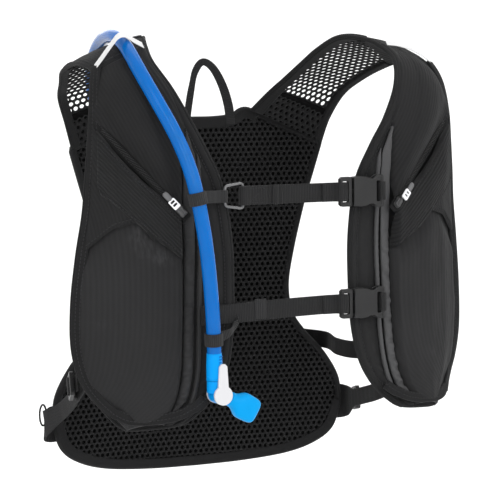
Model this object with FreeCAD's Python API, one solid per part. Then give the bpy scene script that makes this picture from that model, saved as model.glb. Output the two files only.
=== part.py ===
"""A running hydration vest: a back panel with a reservoir compartment, two front panels with pockets,
shoulder straps, two buckled chest straps, side straps, and a drinking hose with a shut-off bite valve.

Millimetres. +X is the wearer's left, +Y is towards the wearer's back, +Z is up.
The shapes are laid out about the middle of the torso, and written with the origin moved to HOOK,
the inside top of the haul loop, where the vest hangs.
"""

import FreeCAD, Part
import math
import os

V = FreeCAD.Vector
HOOK = V(0, 116.5, 160)  # inside top of the haul loop, in torso coordinates
GAP = 0.4  # left between soft pieces that are sewn or laid together
BAND_STEPS = 25  # straight steps along a curved band

# ---------------------------------------------------------------- driving dimensions
# The wearer's left harness ribbon, from the back panel over the shoulder to the foot of the front
# panel: its neck-side edge and its arm-side edge at each station, on the outer face.
RIBBON = [
    ((51, 108, 120), (123, 113, 89)),
    ((64, 96, 137), (130, 109, 112)),
    ((72, 84, 148), (140, 97, 135)),
    ((79, 65, 161), (147, 73, 148.5)),
    ((87, 40, 176.5), (155, 46, 159)),
    ((94, 10, 187), (158, 12, 165.5)),
    ((104, -18, 185), (160, -16, 166)),
    ((112, -37, 178), (158, -38, 160)),
    ((108, -54, 166), (163, -49, 143)),
    ((98, -72, 142), (166, -54, 118)),
    ((86, -82, 115), (168, -54, 92)),
    ((74, -84, 92), (170, -53, 66)),
    ((63, -85, 62), (172, -51, 40)),
    ((56, -86, 20), (177, -47, 5)),
    ((55, -87, -20), (181, -44, -35)),
    ((57, -88, -60), (181, -44, -72)),
    ((64, -90, -92), (174, -48, -100)),
    ((80, -89, -116), (160, -58, -121)),
    ((103, -88, -134), (146, -71, -138)),
]
SEAM = 7  # the station where the mesh shoulder strap meets the padded front panel
RIBBON_T = 4.0
CROWN = 3.0  # how far the ribbon's middle stands out from the line between its edges

POCKET_ACROSS = [0.30, 0.45, 0.60, 0.75, 0.90, 0.97]  # shares of the ribbon's width
POCKET_DEPTH = [10.0, 14.5, 16.0, 13.5, 6.5, 2.5]  # the pocket's thickness there
POCKET_FILL = {8: 0.3, 9: 0.5, 10: 0.8, 17: 0.8, 18: 0.45}  # share of that depth near the ends
POCKET_WALL = 2.0
SPLIT_LOW, SPLIT_HIGH = (80, -7), (190, 69)  # X, Z of the line between zip and stretch pocket
PIPING = ((0.17, 2.4), (0.24, 3.2))  # share of the width, radius

BACK_FRONT_Y = 119.0  # front face of the back panel at its middle, at the collar
BACK_R = 900.0  # its curve round the wearer
BACK_T = 8.0
BACK_LEAN = 1.5  # degrees, lower edge further back
# Half outline of the back panel, X and Z, from the middle of the hem up to the shoulder.
BACK_OUTLINE = [
    (0, -209), (45, -208), (88, -204), (116, -196), (134, -183), (142, -160), (139, -136), (125, -112),
    (107, -92), (94, -72), (90, -45), (95, -12), (105, 30), (114, 60),
]  # fmt: skip
BACK_SHOULDER = (122.5, 88)  # the arm-side end of the seam with the strap
BACK_NECK = (51, 119)  # its neck-side end
COLLAR = [(37, 113), (18, 111), (0, 111)]

# The reservoir compartment: height, half width, furthest Y.
SHELL = [
    (-198, 58, 144), (-184, 84, 156), (-150, 98, 168), (-90, 86, 173),
    (-30, 80, 173), (40, 83, 167), (80, 80, 157), (104, 54, 142),
]  # fmt: skip
SHELL_WALL = 2.0
SHELL_ROOT_Y = 112.0  # the sections start inside the back panel and are cut back to it
STASH_TOP = -38.0
STASH_T = 1.6

WEB_W, WEB_T = 16.0, 1.4
WEB_Y = -88.7  # middle of the chest webbing's thickness
BUCKLE_Y, BUCKLE_END = -92.0, 82.5  # middle of the buckles' thickness, and their fixed end
CHEST_Z = {"upper": 54.0, "lower": -41.0}
BUCKLE_W, BUCKLE_T = 27.5, 8.0
TONGUE_T, TONGUE_W = 4.6, 22.4
TAB_T, TAB_LONG, TAB_GAP = 0.9, 22.0, 0.3  # the webbing tab behind each socket
RING_X = (-62.0, -46.0)  # bars of the wire ring that holds the upper strap
RING_HALF = (8.5, 10.5)  # half the length of each bar
RING_D = 2.2
LOWER_ANCHOR = (-84.0, -64.0)  # where the lower strap is sewn to the panel
STITCHED = 21.0  # length of the doubled end of a strap

HOSE_D = 12.0
# The hose's route, from the reservoir's coupler up inside the compartment, over the shoulder and
# down the front to the valve.
HOSE_ROUTE = [
    (-6, 144, -118), (-20, 143, -92), (-33, 141.5, -58), (-42, 139.5, -20), (-47, 138, 16),
    (-54, 136.5, 48), (-66, 135.5, 76), (-82, 132, 102), (-97, 120, 125), (-108.5, 100, 147.5),
    (-115.5, 75.5, 166.5), (-121, 46, 180), (-126, 14, 187), (-130, -18, 187.7), (-131, -46, 179.8),
    (-129, -73, 157.5), (-120, -91.5, 131), (-108, -101, 104), (-98, -105.5, 76), (-92, -107.5, 47),
    (-87, -108, 16), (-83.5, -107.5, -16), (-81, -106, -46), (-79.5, -104, -74), (-79.5, -103.5, -96),
]  # fmt: skip
VALVE = V(-75, -103.5, -108)  # centre of the shut-off lever
SPOUT_DROP = 30.0  # degrees that the bite valve points down
# Length along the spout, half width and half thickness of the rubber bite valve.
BITE = [(9, 6.2, 6.2), (14, 6.8, 6.8), (22, 11.2, 8.0), (31, 11.6, 7.0), (37, 8.2, 4.0)]
LEVER_REACH = 26.0
KEEPER_Z = {"upper": 54.0, "lower": -62.0}
KEEPER_H = 11.0

# The haul loop's middle line, X and Z, sewn to the front of the collar.
LOOP = [
    (-10, 106), (-9, 124), (-9, 143), (-5, 158), (4, 164.5), (15, 158), (25, 143), (31, 124), (33, 106),
]  # fmt: skip
LOOP_W, LOOP_T = 7.0, 1.8
LOOP_FORWARD = 0.8  # clear of the back panel's curve

# Side straps, all as if on the wearer's left. They hang slack, each in its own way.
SIDE_STRAPS = {
    "upper_side_strap_left": [
        (98, 128.9, -96), (115, 128.4, -98), (132, 119, -100), (126, 84, -101), (127, 40, -99),
        (146, 0, -92), (176, -30, -81), (187, -42, -77),
    ],
    "upper_side_strap_right": [
        (98, 128.9, -96), (115, 128.4, -98), (132, 119, -99), (128, 88, -95), (135, 50, -84),
        (155, 8, -64), (178, -28, -40), (187, -42, -31),
    ],
    "lower_side_strap_left": [
        (122, 128.1, -161), (138, 126.5, -161), (152, 118, -159), (146, 90, -152), (141, 61, -145),
        (138, 20, -135), (153, -14, -121), (176, -37, -106), (184, -44, -102),
    ],
    "lower_side_strap_right": [
        (122, 128.1, -161), (138, 126.5, -161), (152, 118, -158), (144, 90, -141), (141, 61, -122),
        (150, 20, -98), (172, -20, -72), (187, -42, -59),
    ],
}  # fmt: skip
LOCK_AT = {"left": 2, "right": 4}  # the point of the lower side strap where its ladder lock begins

# Station, share of the width and height of the zip's ends, closed end first.
ZIP_ENDS = ((12.3, 0.31, 9.05), (9.3, 0.90, 3.8))
ZIP_W, ZIP_T = 6.0, 1.8
SLIDER = (9.0, 7.0, 3.6)
PULL_LONG = 22.0

CAP = V(10, 141, 6)  # middle of the reservoir cap's seat
CAP_R, CAP_T = 23.0, 10.0


# ---------------------------------------------------------------- small helpers
def vec(p):
    return V(*p)


def mirror(shape):
    return shape.mirror(V(0, 0, 0), V(1, 0, 0))


def box(x0, x1, y0, y1, z0, z1):
    return Part.makeBox(x1 - x0, y1 - y0, z1 - z0, V(x0, y0, z0))


def rounded(shape, radius):
    """The shape with every edge rounded."""
    return shape.makeFillet(radius, shape.Edges)


def spline(points):
    curve = Part.BSplineCurve()
    curve.interpolate([vec(p) if not isinstance(p, V) else p for p in points])
    return curve.toShape()


def closed_wire(front, back):
    """A closed wire of two curves, each through its points, joined end to end by straight lines."""
    ends = Part.makeLine(front[-1], back[-1]), Part.makeLine(back[0], front[0])
    return Part.Wire([spline(front), ends[0], spline(back[::-1]), ends[1]])


def along_path(points, width, thickness, wide):
    """A flat band through the points, its wide side along the given direction as nearly as it can."""
    points = [vec(p) if not isinstance(p, V) else p for p in points]
    if len(points) > 2:
        points = spline(points).discretize(Number=BAND_STEPS)
    wires = []
    for i, p in enumerate(points):
        ahead = points[min(i + 1, len(points) - 1)] - points[max(i - 1, 0)]
        thin = ahead.cross(wide).normalize()
        broad = thin.cross(ahead).normalize()
        corners = [
            p + broad * (a * width / 2) + thin * (b * thickness / 2)
            for a, b in ((-1, -1), (1, -1), (1, 1), (-1, 1))
        ]
        wires.append(Part.makePolygon(corners + corners[:1]))
    return Part.makeLoft(wires, True, True)


def cylinder(radius, start, end):
    return Part.makeCylinder(radius, (end - start).Length, start, end - start)


def write(name, *solids):
    """One STEP file of closed solids, moved so that the hook point is the origin."""
    os.makedirs("parts", exist_ok=True)
    flat = [s for solid in solids for s in solid.Solids]
    shape = flat[0] if len(flat) == 1 else Part.makeCompound(flat)
    shape = shape.copy()
    shape.translate(HOOK.negative())
    if not shape.isValid():
        print("NOT VALID", name)
    shape.exportStep(f"parts/{name}.step")
    print(f"{name}: {len(flat)} solids, {sum(s.Volume for s in flat) / 1000:.1f} cm3")


def write_pair(name, solid_on_left):
    """The wearer's left piece as modelled, and its mirror image."""
    write(name + "_left", solid_on_left)
    write(name + "_right", mirror(solid_on_left))


# ---------------------------------------------------------------- the harness ribbon
def station(k):
    """Neck edge, arm edge and outward direction of the ribbon at station k, which may be fractional."""
    k = min(max(k, 0), len(RIBBON) - 1)
    i = min(int(k), len(RIBBON) - 2)
    ends = [vec(RIBBON[i][e]) + (vec(RIBBON[i + 1][e]) - vec(RIBBON[i][e])) * (k - i) for e in (0, 1)]
    before, after = max(i - 1, 0), min(i + 1, len(RIBBON) - 1)
    if k > i:
        before, after = i, i + 1
    along = sum_mid(after) - sum_mid(before)
    out = along.cross(ends[1] - ends[0]).normalize()
    return ends[0], ends[1], out


def sum_mid(i):
    return vec(RIBBON[i][0]) + vec(RIBBON[i][1])


def on_ribbon(k, t, height):
    """A point at share t of the width, that far out from the ribbon's outer face."""
    neck, arm, out = station(k)
    return neck + (arm - neck) * t + out * (CROWN * 4 * t * (1 - t) + height)


def ribbon_solid(first, last):
    across = [0, 0.25, 0.5, 0.75, 1]
    wires = [
        closed_wire([on_ribbon(k, t, 0) for t in across], [on_ribbon(k, t, -RIBBON_T) for t in across])
        for k in range(first, last + 1)
    ]
    return Part.makeLoft(wires, True, False)


def patch(first, last, shares, heights, thickness):
    """A layer on the ribbon between two stations, standing at those heights at those shares of its width."""
    wires = []
    for k in (first, last):
        low = [on_ribbon(k, t, h) for t, h in zip(shares, heights)]
        high = [on_ribbon(k, t, h + thickness) for t, h in zip(shares, heights)]
        wires.append(Part.makePolygon(low + high[::-1] + low[:1]))
    return Part.makeLoft(wires, True, True)


def pocket_fill(k):
    return POCKET_FILL.get(k, 1.0)


def pocket_blank(inset, low, first, last, across):
    """The pockets' domed body, less an inset from its outer face, starting at height low."""
    wires = []
    for k in range(first, last + 1):
        depth = [max(d * pocket_fill(k) - inset, low + 0.8) for d in POCKET_DEPTH]
        outer = [on_ribbon(k, t, GAP + d) for t, d in zip(across, depth)]
        inner = [on_ribbon(k, t, low) for t in across]
        wires.append(closed_wire(outer, inner))
    return Part.makeLoft(wires, True, False)


def split_prism(above):
    """Everything above, or below, the line between the zip pocket and the stretch pocket."""
    shift = GAP / 2 if above else -GAP / 2
    far = 400 if above else -400
    (x0, z0), (x1, z1) = SPLIT_LOW, SPLIT_HIGH
    corners = [V(x0, -250, z0 + shift), V(x1, -250, z1 + shift), V(x1, -250, far), V(x0, -250, far)]
    return Part.Face(Part.makePolygon(corners + corners[:1])).extrude(V(0, 300, 0))


def make_harness():
    write_pair("shoulder_strap", ribbon_solid(0, SEAM))
    write_pair("front_panel", ribbon_solid(SEAM, len(RIBBON) - 1))


def make_pockets():
    body = pocket_blank(0, GAP, 8, 18, POCKET_ACROSS)
    channel = zip_bar((-9, zip_length() + 3), ZIP_W + 1.2, (-GAP, 14))
    write_pair("zip_pocket", body.common(split_prism(True)).cut(channel))
    hollow = pocket_blank(POCKET_WALL, -1.0, 11, 17, [0.22, 0.42, 0.58, 0.72, 0.85, 0.92])
    write_pair("stretch_pocket", body.common(split_prism(False)).cut(hollow))


def make_piping():
    """Two padded ribs along the neck side of each front panel."""
    ribs = []
    for share, radius in PIPING:
        line = spline([on_ribbon(k, share, radius + GAP) for k in range(9, 18)])
        start = line.valueAt(line.FirstParameter)
        ring = Part.Wire(Part.makeCircle(radius, start, line.tangentAt(line.FirstParameter)))
        ribs.append(Part.Wire(line).makePipeShell([ring], True, True))
    write("piping_left", *ribs)
    write("piping_right", *[mirror(r) for r in ribs])


# ---------------------------------------------------------------- the back
def back_sheet(front, back):
    """A curved sheet between two offsets behind the back panel's front face, taller than the vest."""
    z0, z1 = -260, 200
    centre = V(0, BACK_FRONT_Y - BACK_R, z0)
    outer = Part.makeCylinder(BACK_R + back, z1 - z0, centre)
    sheet = outer.cut(Part.makeCylinder(BACK_R + front, z1 - z0, centre))
    sheet.rotate(V(0, BACK_FRONT_Y, COLLAR[-1][1]), V(1, 0, 0), BACK_LEAN)
    return sheet


def outline_prism():
    """The back panel's outline, through the depth of the vest."""
    y = 60.0
    right = [V(x, y, z) for x, z in BACK_OUTLINE]
    left = [V(-p.x, y, p.z) for p in right[1:]]
    collar = [V(-x, y, z) for x, z in COLLAR[:-1]] + [V(x, y, z) for x, z in COLLAR[::-1]]
    shoulder, neck = V(BACK_SHOULDER[0], y, BACK_SHOULDER[1]), V(BACK_NECK[0], y, BACK_NECK[1])
    collar = [V(-neck.x, y, neck.z)] + collar + [neck]
    edges = [
        spline([V(-shoulder.x, y, shoulder.z)] + left[::-1] + right + [shoulder]),
        Part.makeLine(shoulder, neck),
        spline(collar[::-1]),
        Part.makeLine(collar[0], V(-shoulder.x, y, shoulder.z)),
    ]
    return Part.Face(Part.Wire(edges)).extrude(V(0, 140, 0))


def shell_blank(grow):
    """The compartment's domed body, grown all round by that much."""
    wires = []
    for z, half, far in SHELL:
        half, far = half + grow, far + grow
        left, right = V(-half, SHELL_ROOT_Y, z), V(half, SHELL_ROOT_Y, z)
        wires.append(Part.Wire([Part.Arc(left, V(0, far, z), right).toShape(), Part.makeLine(right, left)]))
    return Part.makeLoft(wires, True, False)


def reservoir_blank(hose_groove):
    """A part-filled bladder against the inside of the compartment, lying round the hose."""
    film = shell_blank(-SHELL_WALL - 1.2).cut(back_sheet(-200, BACK_T + GAP + 1))
    film = film.common(box(-200, 200, 0, 250, -176, 64))
    cap_room = cylinder(CAP_R + 3, CAP, CAP + V(0, 60, 0))
    return film.cut(hose_groove).cut(cap_room)


def make_back(hose_groove, coupler_room):
    inside = back_sheet(-200, BACK_T + GAP)
    write("back_panel", outline_prism().common(back_sheet(0, BACK_T)))
    hollow = shell_blank(-SHELL_WALL).common(box(-200, 200, 0, 250, SHELL[0][0] + 4, SHELL[-1][0] - 4))
    write("back_shell", shell_blank(0).cut(hollow).cut(inside).cut(hose_groove))
    stash = shell_blank(GAP + STASH_T).cut(shell_blank(GAP)).cut(inside)
    write("stash_pocket", stash.common(box(-200, 200, 0, 250, SHELL[0][0] + 0.5, STASH_TOP)))
    write("reservoir", reservoir_blank(hose_groove).cut(coupler_room))


def make_cap():
    """The fill cap: a disc with a raised grip across it, turned on the reservoir's neck."""
    neck = cylinder(CAP_R - 4, CAP, CAP + V(0, 3, 0))
    neck = neck.cut(cylinder(CAP_R - 7, CAP - V(0, 1, 0), CAP + V(0, 4, 0)))
    write("fill_neck", neck)
    cap = cylinder(CAP_R - 2, CAP + V(0, 3.4, 0), CAP + V(0, 7, 0))
    grip = box(CAP.x - 3, CAP.x + 3, CAP.y + 7, CAP.y + CAP_T, CAP.z - CAP_R + 6, CAP.z + CAP_R - 6)
    write("fill_cap", cap.fuse(grip).removeSplitter())


# ---------------------------------------------------------------- hose and valve
def tangent_arc_path(points):
    """Straight runs joined by tangent arcs, and the tightest radius."""
    points = [vec(p) for p in points]
    edges, here, radii = [], points[0], []
    for a, b, c in zip(points, points[1:], points[2:]):
        before, after = b - a, c - b
        turn = before.getAngle(after)
        back = 0.45 * min(before.Length, after.Length)
        radii.append(back / math.tan(turn / 2))
        start, end = b - before.normalize() * back, b + after.normalize() * back
        middle = b + (start + end - b * 2).normalize() * radii[-1] * (1 / math.cos(turn / 2) - 1)
        edges += [Part.LineSegment(here, start).toShape(), Part.Arc(start, middle, end).toShape()]
        here = end
    edges.append(Part.LineSegment(here, points[-1]).toShape())
    return Part.Wire(edges), radii


def tube(path, radius):
    start = path.Edges[0].valueAt(path.Edges[0].FirstParameter)
    along = path.Edges[0].tangentAt(path.Edges[0].FirstParameter)
    return path.makePipeShell([Part.Wire(Part.makeCircle(radius, start, along))], True, False)


def hose_near(path, z):
    """The hose's centre and direction where its front stretch passes a height."""
    best = min((p for p in path.discretize(Distance=0.5) if p.y < 0), key=lambda p: abs(p.z - z))
    ahead = min((p for p in path.discretize(Distance=0.5) if p.y < 0), key=lambda p: abs(p.z - z + 6))
    return best, (ahead - best).normalize()


def make_hose(path, radii):
    hose = tube(path, HOSE_D / 2)
    section = math.pi * HOSE_D**2 / 4
    print(f"hose: {path.Length:.0f} mm, radii {[round(r) for r in radii]}")
    print(f"hose: volume over section times length {hose.Volume / section / path.Length:.4f}")
    write("hose", hose)
    root, along = vec(HOSE_ROUTE[0]), (vec(HOSE_ROUTE[0]) - vec(HOSE_ROUTE[1])).normalize()
    barrel = cylinder(7.5, root + along * GAP, root + along * 15)
    collar = cylinder(9, root + along * 15, root + along * 20)
    write("hose_coupler", barrel.fuse(collar).removeSplitter())
    return cylinder(10, root, root + along * 21)


def spout_frame():
    drop = math.radians(SPOUT_DROP)
    return V(math.cos(drop), 0, -math.sin(drop)), V(math.sin(drop), 0, math.cos(drop))


def bite_section(s, half, thick):
    """A rounded-oblong section of the bite valve."""
    along, across = spout_frame()
    major, minor = (across, V(0, 1, 0)) if half >= thick else (V(0, 1, 0), across)
    big, small = max(half, thick), min(half, thick)
    centre = VALVE + along * s + across * 0.8
    ring = Part.Ellipse(centre + major * big, centre + minor * small, centre) if big > small else None
    return Part.Wire((ring or Part.Circle(centre, along, big)).toShape())


def make_valve():
    along, _ = spout_frame()
    end, before = vec(HOSE_ROUTE[-1]), vec(HOSE_ROUTE[-2])
    down = (end - before).normalize()
    sleeve = cylinder(6.3, end + down * GAP, end + down * 10)
    drum = cylinder(7.8, VALVE - V(0, 6.3, 0), VALVE + V(0, 6.3, 0))
    spout = cylinder(5.4, VALVE, VALVE + along * 20)
    bore = cylinder(3.05, VALVE - V(0, 20, 0), VALVE + V(0, 20, 0))
    write("valve_elbow", sleeve.fuse([drum, spout]).cut(bore).removeSplitter())
    bite = Part.makeLoft([bite_section(*row) for row in BITE], True, False)
    write("bite_valve", bite.cut(cylinder(5.5, VALVE, VALVE + along * 21)))
    lever = cylinder(3.0, VALVE - V(0, 7, 0), VALVE + V(0, 7, 0))
    for side in (-1, 1):
        disc = cylinder(8.0, VALVE + V(0, side * 6.6, 0), VALVE + V(0, side * 8.8, 0))
        lever = lever.fuse(disc)
    write("valve_lever", lever.fuse(lever_arm()).removeSplitter())


def lever_arm():
    """The lever's flat tapered arm, in front of the drum."""
    y0, y1 = VALVE.y - 8.8, VALVE.y - 6.6
    half = [(4.6, 4), (3.4, LEVER_REACH - 2), (1.5, LEVER_REACH)]
    corners = half + [(-x, z) for x, z in half[::-1]]
    points = [V(VALVE.x + x, y0, VALVE.z + z) for x, z in corners]
    return Part.Face(Part.makePolygon(points + points[:1])).extrude(V(0, y1 - y0, 0))


def make_keepers(path):
    """The elastic loops that hold the hose to the two chest straps, and the band over the shoulder."""
    for name, z in KEEPER_Z.items():
        centre, along = hose_near(path, z)
        low, high = centre - along * KEEPER_H / 2, centre + along * KEEPER_H / 2
        ring = cylinder(HOSE_D / 2 + 1.6, low, high)
        if name == "upper":
            end = V(RING_X[0] - 1.4, WEB_Y - 1.5, z)
        else:
            end = V(-56, WEB_Y - 2, CHEST_Z["lower"] - WEB_W / 2 - 6)
        start = centre + (end - centre).normalize() * (HOSE_D / 2)
        tab = along_path([start, end], KEEPER_H - 1, 1.4, along)
        passage = cylinder(HOSE_D / 2 + 0.15, low + (low - high), high + (high - low))
        write("hose_keeper_" + name, ring.fuse(tab).cut(passage))
    shares = [0.05, 0.16, 0.21, 0.26, 0.37, 0.48, 0.53, 0.62, 0.92]
    flat = [1.4] * len(shares)
    over = [1.4, 6.0, 10.0, 15.5, 17.5, 15.5, 10.0, 5.0, 1.4]
    write("reflective_band_left", patch(7.0, 7.33, shares, flat, 0.9))
    write("reflective_band_right", mirror(patch(7.0, 7.33, shares, over, 0.9)))


# ---------------------------------------------------------------- chest straps and buckles
def buckle_box(x0, x1, width, thick, z):
    return box(x0, x1, BUCKLE_Y - thick / 2, BUCKLE_Y + thick / 2, z - width / 2, z + width / 2)


def make_buckle(name, z):
    """A side-release buckle: a tongue with two sprung prongs in a socket with open sides."""
    mouth = BUCKLE_END - 28.5
    socket = rounded(buckle_box(mouth, BUCKLE_END, BUCKLE_W, BUCKLE_T, z), 1.5)
    socket = socket.cut(buckle_box(mouth - 1, mouth + 19, TONGUE_W + 0.6, TONGUE_T + 0.4, z))
    socket = socket.cut(buckle_box(mouth + 6, mouth + 15, BUCKLE_W + 2, TONGUE_T + 0.4, z))
    socket = socket.cut(buckle_box(BUCKLE_END - 7.2, BUCKLE_END - 3.2, WEB_W + 1.5, BUCKLE_T + 2, z))
    write(f"{name}_buckle_socket", socket)
    frame = rounded(buckle_box(mouth - 12, mouth - GAP, TONGUE_W + 3, TONGUE_T, z), 1.2)
    frame = frame.cut(buckle_box(mouth - 9.4, mouth - 4.4, WEB_W + 1.5, BUCKLE_T, z))
    prongs = [buckle_box(mouth - 2, mouth + 17, 4, TONGUE_T - 1.4, z)]
    for side in (-1, 1):
        prongs.append(buckle_box(mouth - 2, mouth + 16, 2.4, TONGUE_T - 0.6, z + side * (TONGUE_W / 2 - 1.4)))
    write(f"{name}_buckle_tongue", frame.fuse(prongs).removeSplitter())
    write(f"{name}_buckle_tab", buckle_tab(z))


def buckle_tab(z):
    """The webbing that wraps the socket's bar and is sewn to the panel behind it."""
    low, high = z - WEB_W / 2, z + WEB_W / 2
    front, back = BUCKLE_Y - BUCKLE_T / 2 - TAB_GAP, BUCKLE_Y + BUCKLE_T / 2 + TAB_GAP
    bar, end = BUCKLE_END - 3.2 - TAB_GAP, BUCKLE_END + TAB_GAP
    wrap = box(bar - TAB_T, end + TAB_T, front - TAB_T, back + TAB_T, low, high)
    wrap = wrap.cut(box(bar, end, front, back, low - 1, high + 1))
    sewn = box(BUCKLE_END - TAB_LONG, bar, back, back + TAB_T, low, high)
    return wrap.fuse(sewn).removeSplitter()


def make_chest_straps():
    half = WEB_W / 2
    low, high = WEB_Y - WEB_T / 2, WEB_Y + WEB_T / 2
    end = BUCKLE_END - 33
    for name, z in CHEST_Z.items():
        make_buckle(name, z)
        if name == "upper":
            start = RING_X[1]
            bar = V(start, BUCKLE_Y + 2, z)
            eye = cylinder(RING_D / 2 + 1.6, bar - V(0, 0, half), bar + V(0, 0, half))
            hole = cylinder(RING_D / 2 + 0.3, bar - V(0, 0, 40), bar + V(0, 0, 40))
            strap = box(start, end, low, high, z - half, z + half)
            fold = box(start, start + STITCHED, low - WEB_T, low, z - half, z + half)
            write("upper_chest_strap", strap.fuse([fold, eye]).cut(hole).removeSplitter())
        else:
            start = LOWER_ANCHOR[1]
            strap = box(start, end, low, high, z - half, z + half)
            write("lower_chest_strap", strap.fuse(lower_anchor(z, half)).removeSplitter())


def lower_anchor(z, half):
    """The doubled end of the lower strap, down to the panel that it is sewn to."""
    x0, x1 = LOWER_ANCHOR
    return box(x0, x1 + 4, WEB_Y - 1.2, WEB_Y + WEB_T / 2, z - half, z + half)


def make_ring():
    """The wire ring on the wearer's right front panel."""
    z, y = CHEST_Z["upper"], BUCKLE_Y + 2
    (x0, x1), (short, long) = RING_X, RING_HALF
    corners = [V(x0, y, z - short), V(x0, y, z + short), V(x1, y, z + long), V(x1, y, z - long)]
    bars = [cylinder(RING_D / 2, a, b) for a, b in zip(corners, corners[1:] + corners[:1])]
    knuckles = [Part.makeSphere(RING_D / 2, c) for c in corners]
    write("upper_strap_ring", bars[0].fuse(bars[1:] + knuckles).removeSplitter())


# ---------------------------------------------------------------- zips, side straps, haul loop
def zip_frame():
    """The closed end of the zip, and its directions along, across and outward."""
    ends = []
    for k, t, height in ZIP_ENDS:
        ends.append(on_ribbon(k, t, height))
    along = (ends[1] - ends[0]).normalize()
    out = (station(ZIP_ENDS[0][0])[2] + station(ZIP_ENDS[1][0])[2]).normalize()
    across = out.cross(along).normalize()
    return ends[0], along, across, along.cross(across).normalize(), (ends[1] - ends[0]).Length


def zip_length():
    return zip_frame()[4]


def zip_point(s, w, h):
    start, along, across, out, _ = zip_frame()
    return start + along * s + across * w + out * h


def zip_bar(span, width, heights, middle=0):
    """A block along the zip, between two distances from its closed end and two heights."""
    s0, s1 = span
    low, high = heights
    sides = ((-1, low), (1, low), (1, high), (-1, high))
    corners = [zip_point(s0, middle + a * width / 2, h) for a, h in sides]
    along = zip_frame()[1]
    return Part.Face(Part.makePolygon(corners + corners[:1])).extrude(along * (s1 - s0))


def make_zips():
    long, wide, tall = SLIDER
    write_pair("zip_track", zip_bar((-8, zip_length()), ZIP_W, (0, ZIP_T)))
    base = ZIP_T + 0.2
    pin_height, pin_s = base + tall + 1.6, long / 2 + 1
    slider = zip_bar((-long / 2, long / 2), wide, (base, base + tall))
    slider = slider.fuse(zip_bar((pin_s - 1.6, pin_s + 0.8), 1.8, (base + 1, pin_height + 0.9)))
    pin = cylinder(0.7, zip_point(pin_s, -2.8, pin_height), zip_point(pin_s, 2.8, pin_height))
    write_pair("zip_slider", slider.fuse(pin).removeSplitter())
    pull = zip_bar((pin_s + 2.2, pin_s + PULL_LONG), 5.2, (pin_height - 0.7, pin_height + 0.7))
    for side in (-1, 1):
        lug = zip_bar((pin_s - 1.2, pin_s + 3), 1.2, (pin_height - 1.2, pin_height + 1.2), side * 2.0)
        pull = pull.fuse(lug)
    hole = cylinder(0.75, zip_point(pin_s, -4, pin_height), zip_point(pin_s, 4, pin_height))
    write_pair("zip_pull", pull.cut(hole).removeSplitter())
    for side, flip in (("left", 1), ("right", -1)):
        pivot, (_, along, across, _, length) = zip_point(pin_s, 0, pin_height) - HOOK, zip_frame()
        for what, v in (("zip direction", along), ("pull pivot", pivot / 1000), ("pull axis", across)):
            print(f"{side} {what}: {v.x * flip:.6f} {v.y:.6f} {v.z:.6f}")
        print(f"{side} zip length: {length:.1f}")


def ladder_lock(strap, first):
    """A ladder lock lying on the outside of a side strap."""
    near, far = vec(strap[first]), vec(strap[first + 1])
    along = (far - near).normalize()
    out = V(0, 0, 1).cross(along).normalize() * 6.4
    if out.x < 0:
        out = out.negative()

    def bar(start, end, width, thickness):
        ends = [near + along * start + out, near + along * end + out]
        return along_path(ends, width, thickness, V(0, 0, 1))

    return bar(2, 20, 22, 4.5).cut([bar(5.2, 8.8, 17.4, 20), bar(13.2, 16.8, 17.4, 20)])


def make_side_straps():
    for name, points in SIDE_STRAPS.items():
        side = name.rsplit("_", 1)[1]
        place = mirror if side == "right" else Part.Shape.copy
        write(name, place(along_path(points, WEB_W, WEB_T, V(0, 0, 1))))
        if name.startswith("lower"):
            write("ladder_lock_" + side, place(ladder_lock(points, LOCK_AT[side])))


def make_loop():
    y = BACK_FRONT_Y - GAP - LOOP_T / 2 - LOOP_FORWARD
    loop = along_path([(x, y, z) for x, z in LOOP], LOOP_T, LOOP_W, V(0, 1, 0))
    write("haul_loop", loop)


def main():
    path, radii = tangent_arc_path(HOSE_ROUTE)
    groove = tube(path, HOSE_D / 2 + 0.6)
    make_harness()
    make_pockets()
    make_piping()
    coupler_room = make_hose(path, radii)
    make_back(groove, coupler_room)
    make_cap()
    make_valve()
    make_keepers(path)
    make_chest_straps()
    make_ring()
    make_zips()
    make_side_straps()
    make_loop()


main()
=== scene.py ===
from functools import partial
from math import asin, copysign, cos, exp, pi, radians, sin, sqrt, tan, tau

import bmesh
import bpy
from mathutils import Matrix, Vector, noise


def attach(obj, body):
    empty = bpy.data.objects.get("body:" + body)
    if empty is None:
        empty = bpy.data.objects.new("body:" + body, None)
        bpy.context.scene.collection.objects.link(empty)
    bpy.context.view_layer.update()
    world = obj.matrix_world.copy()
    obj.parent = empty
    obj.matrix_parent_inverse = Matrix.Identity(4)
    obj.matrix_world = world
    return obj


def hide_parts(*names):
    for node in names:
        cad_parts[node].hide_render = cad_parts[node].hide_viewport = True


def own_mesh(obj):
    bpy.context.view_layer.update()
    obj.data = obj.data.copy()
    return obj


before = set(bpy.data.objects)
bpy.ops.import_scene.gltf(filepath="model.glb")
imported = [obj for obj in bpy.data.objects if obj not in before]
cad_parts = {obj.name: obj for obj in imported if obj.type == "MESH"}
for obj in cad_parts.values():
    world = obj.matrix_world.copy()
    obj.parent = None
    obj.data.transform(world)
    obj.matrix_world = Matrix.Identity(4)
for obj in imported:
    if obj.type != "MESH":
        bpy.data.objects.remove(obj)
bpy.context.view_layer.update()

# ---------------------------------------------------------------- places
# Torso coordinates in mm, as in part.py: +X wearer's left, +Y wearer's back, +Z up.
HOOK = Vector((0, 116.5, 160))
LEFT, RIGHT = 1, -1
BACKWARD, UPWARD = Vector((0, 1, 0)), Vector((0, 0, 1))
SIDES = ((LEFT, "left"), (RIGHT, "right"))


def at(x, y, z):
    return (Vector((x, y, z)) - HOOK) / 1000


def to_row(p):
    return (p - HOOK) / 1000


def mirrored(p, side):
    return Vector((p.x * side, p.y, p.z))


def mix(a, b, f):
    return a + (b - a) * f


def clamp(x, low=0.0, high=1.0):
    return max(low, min(high, x))


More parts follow.
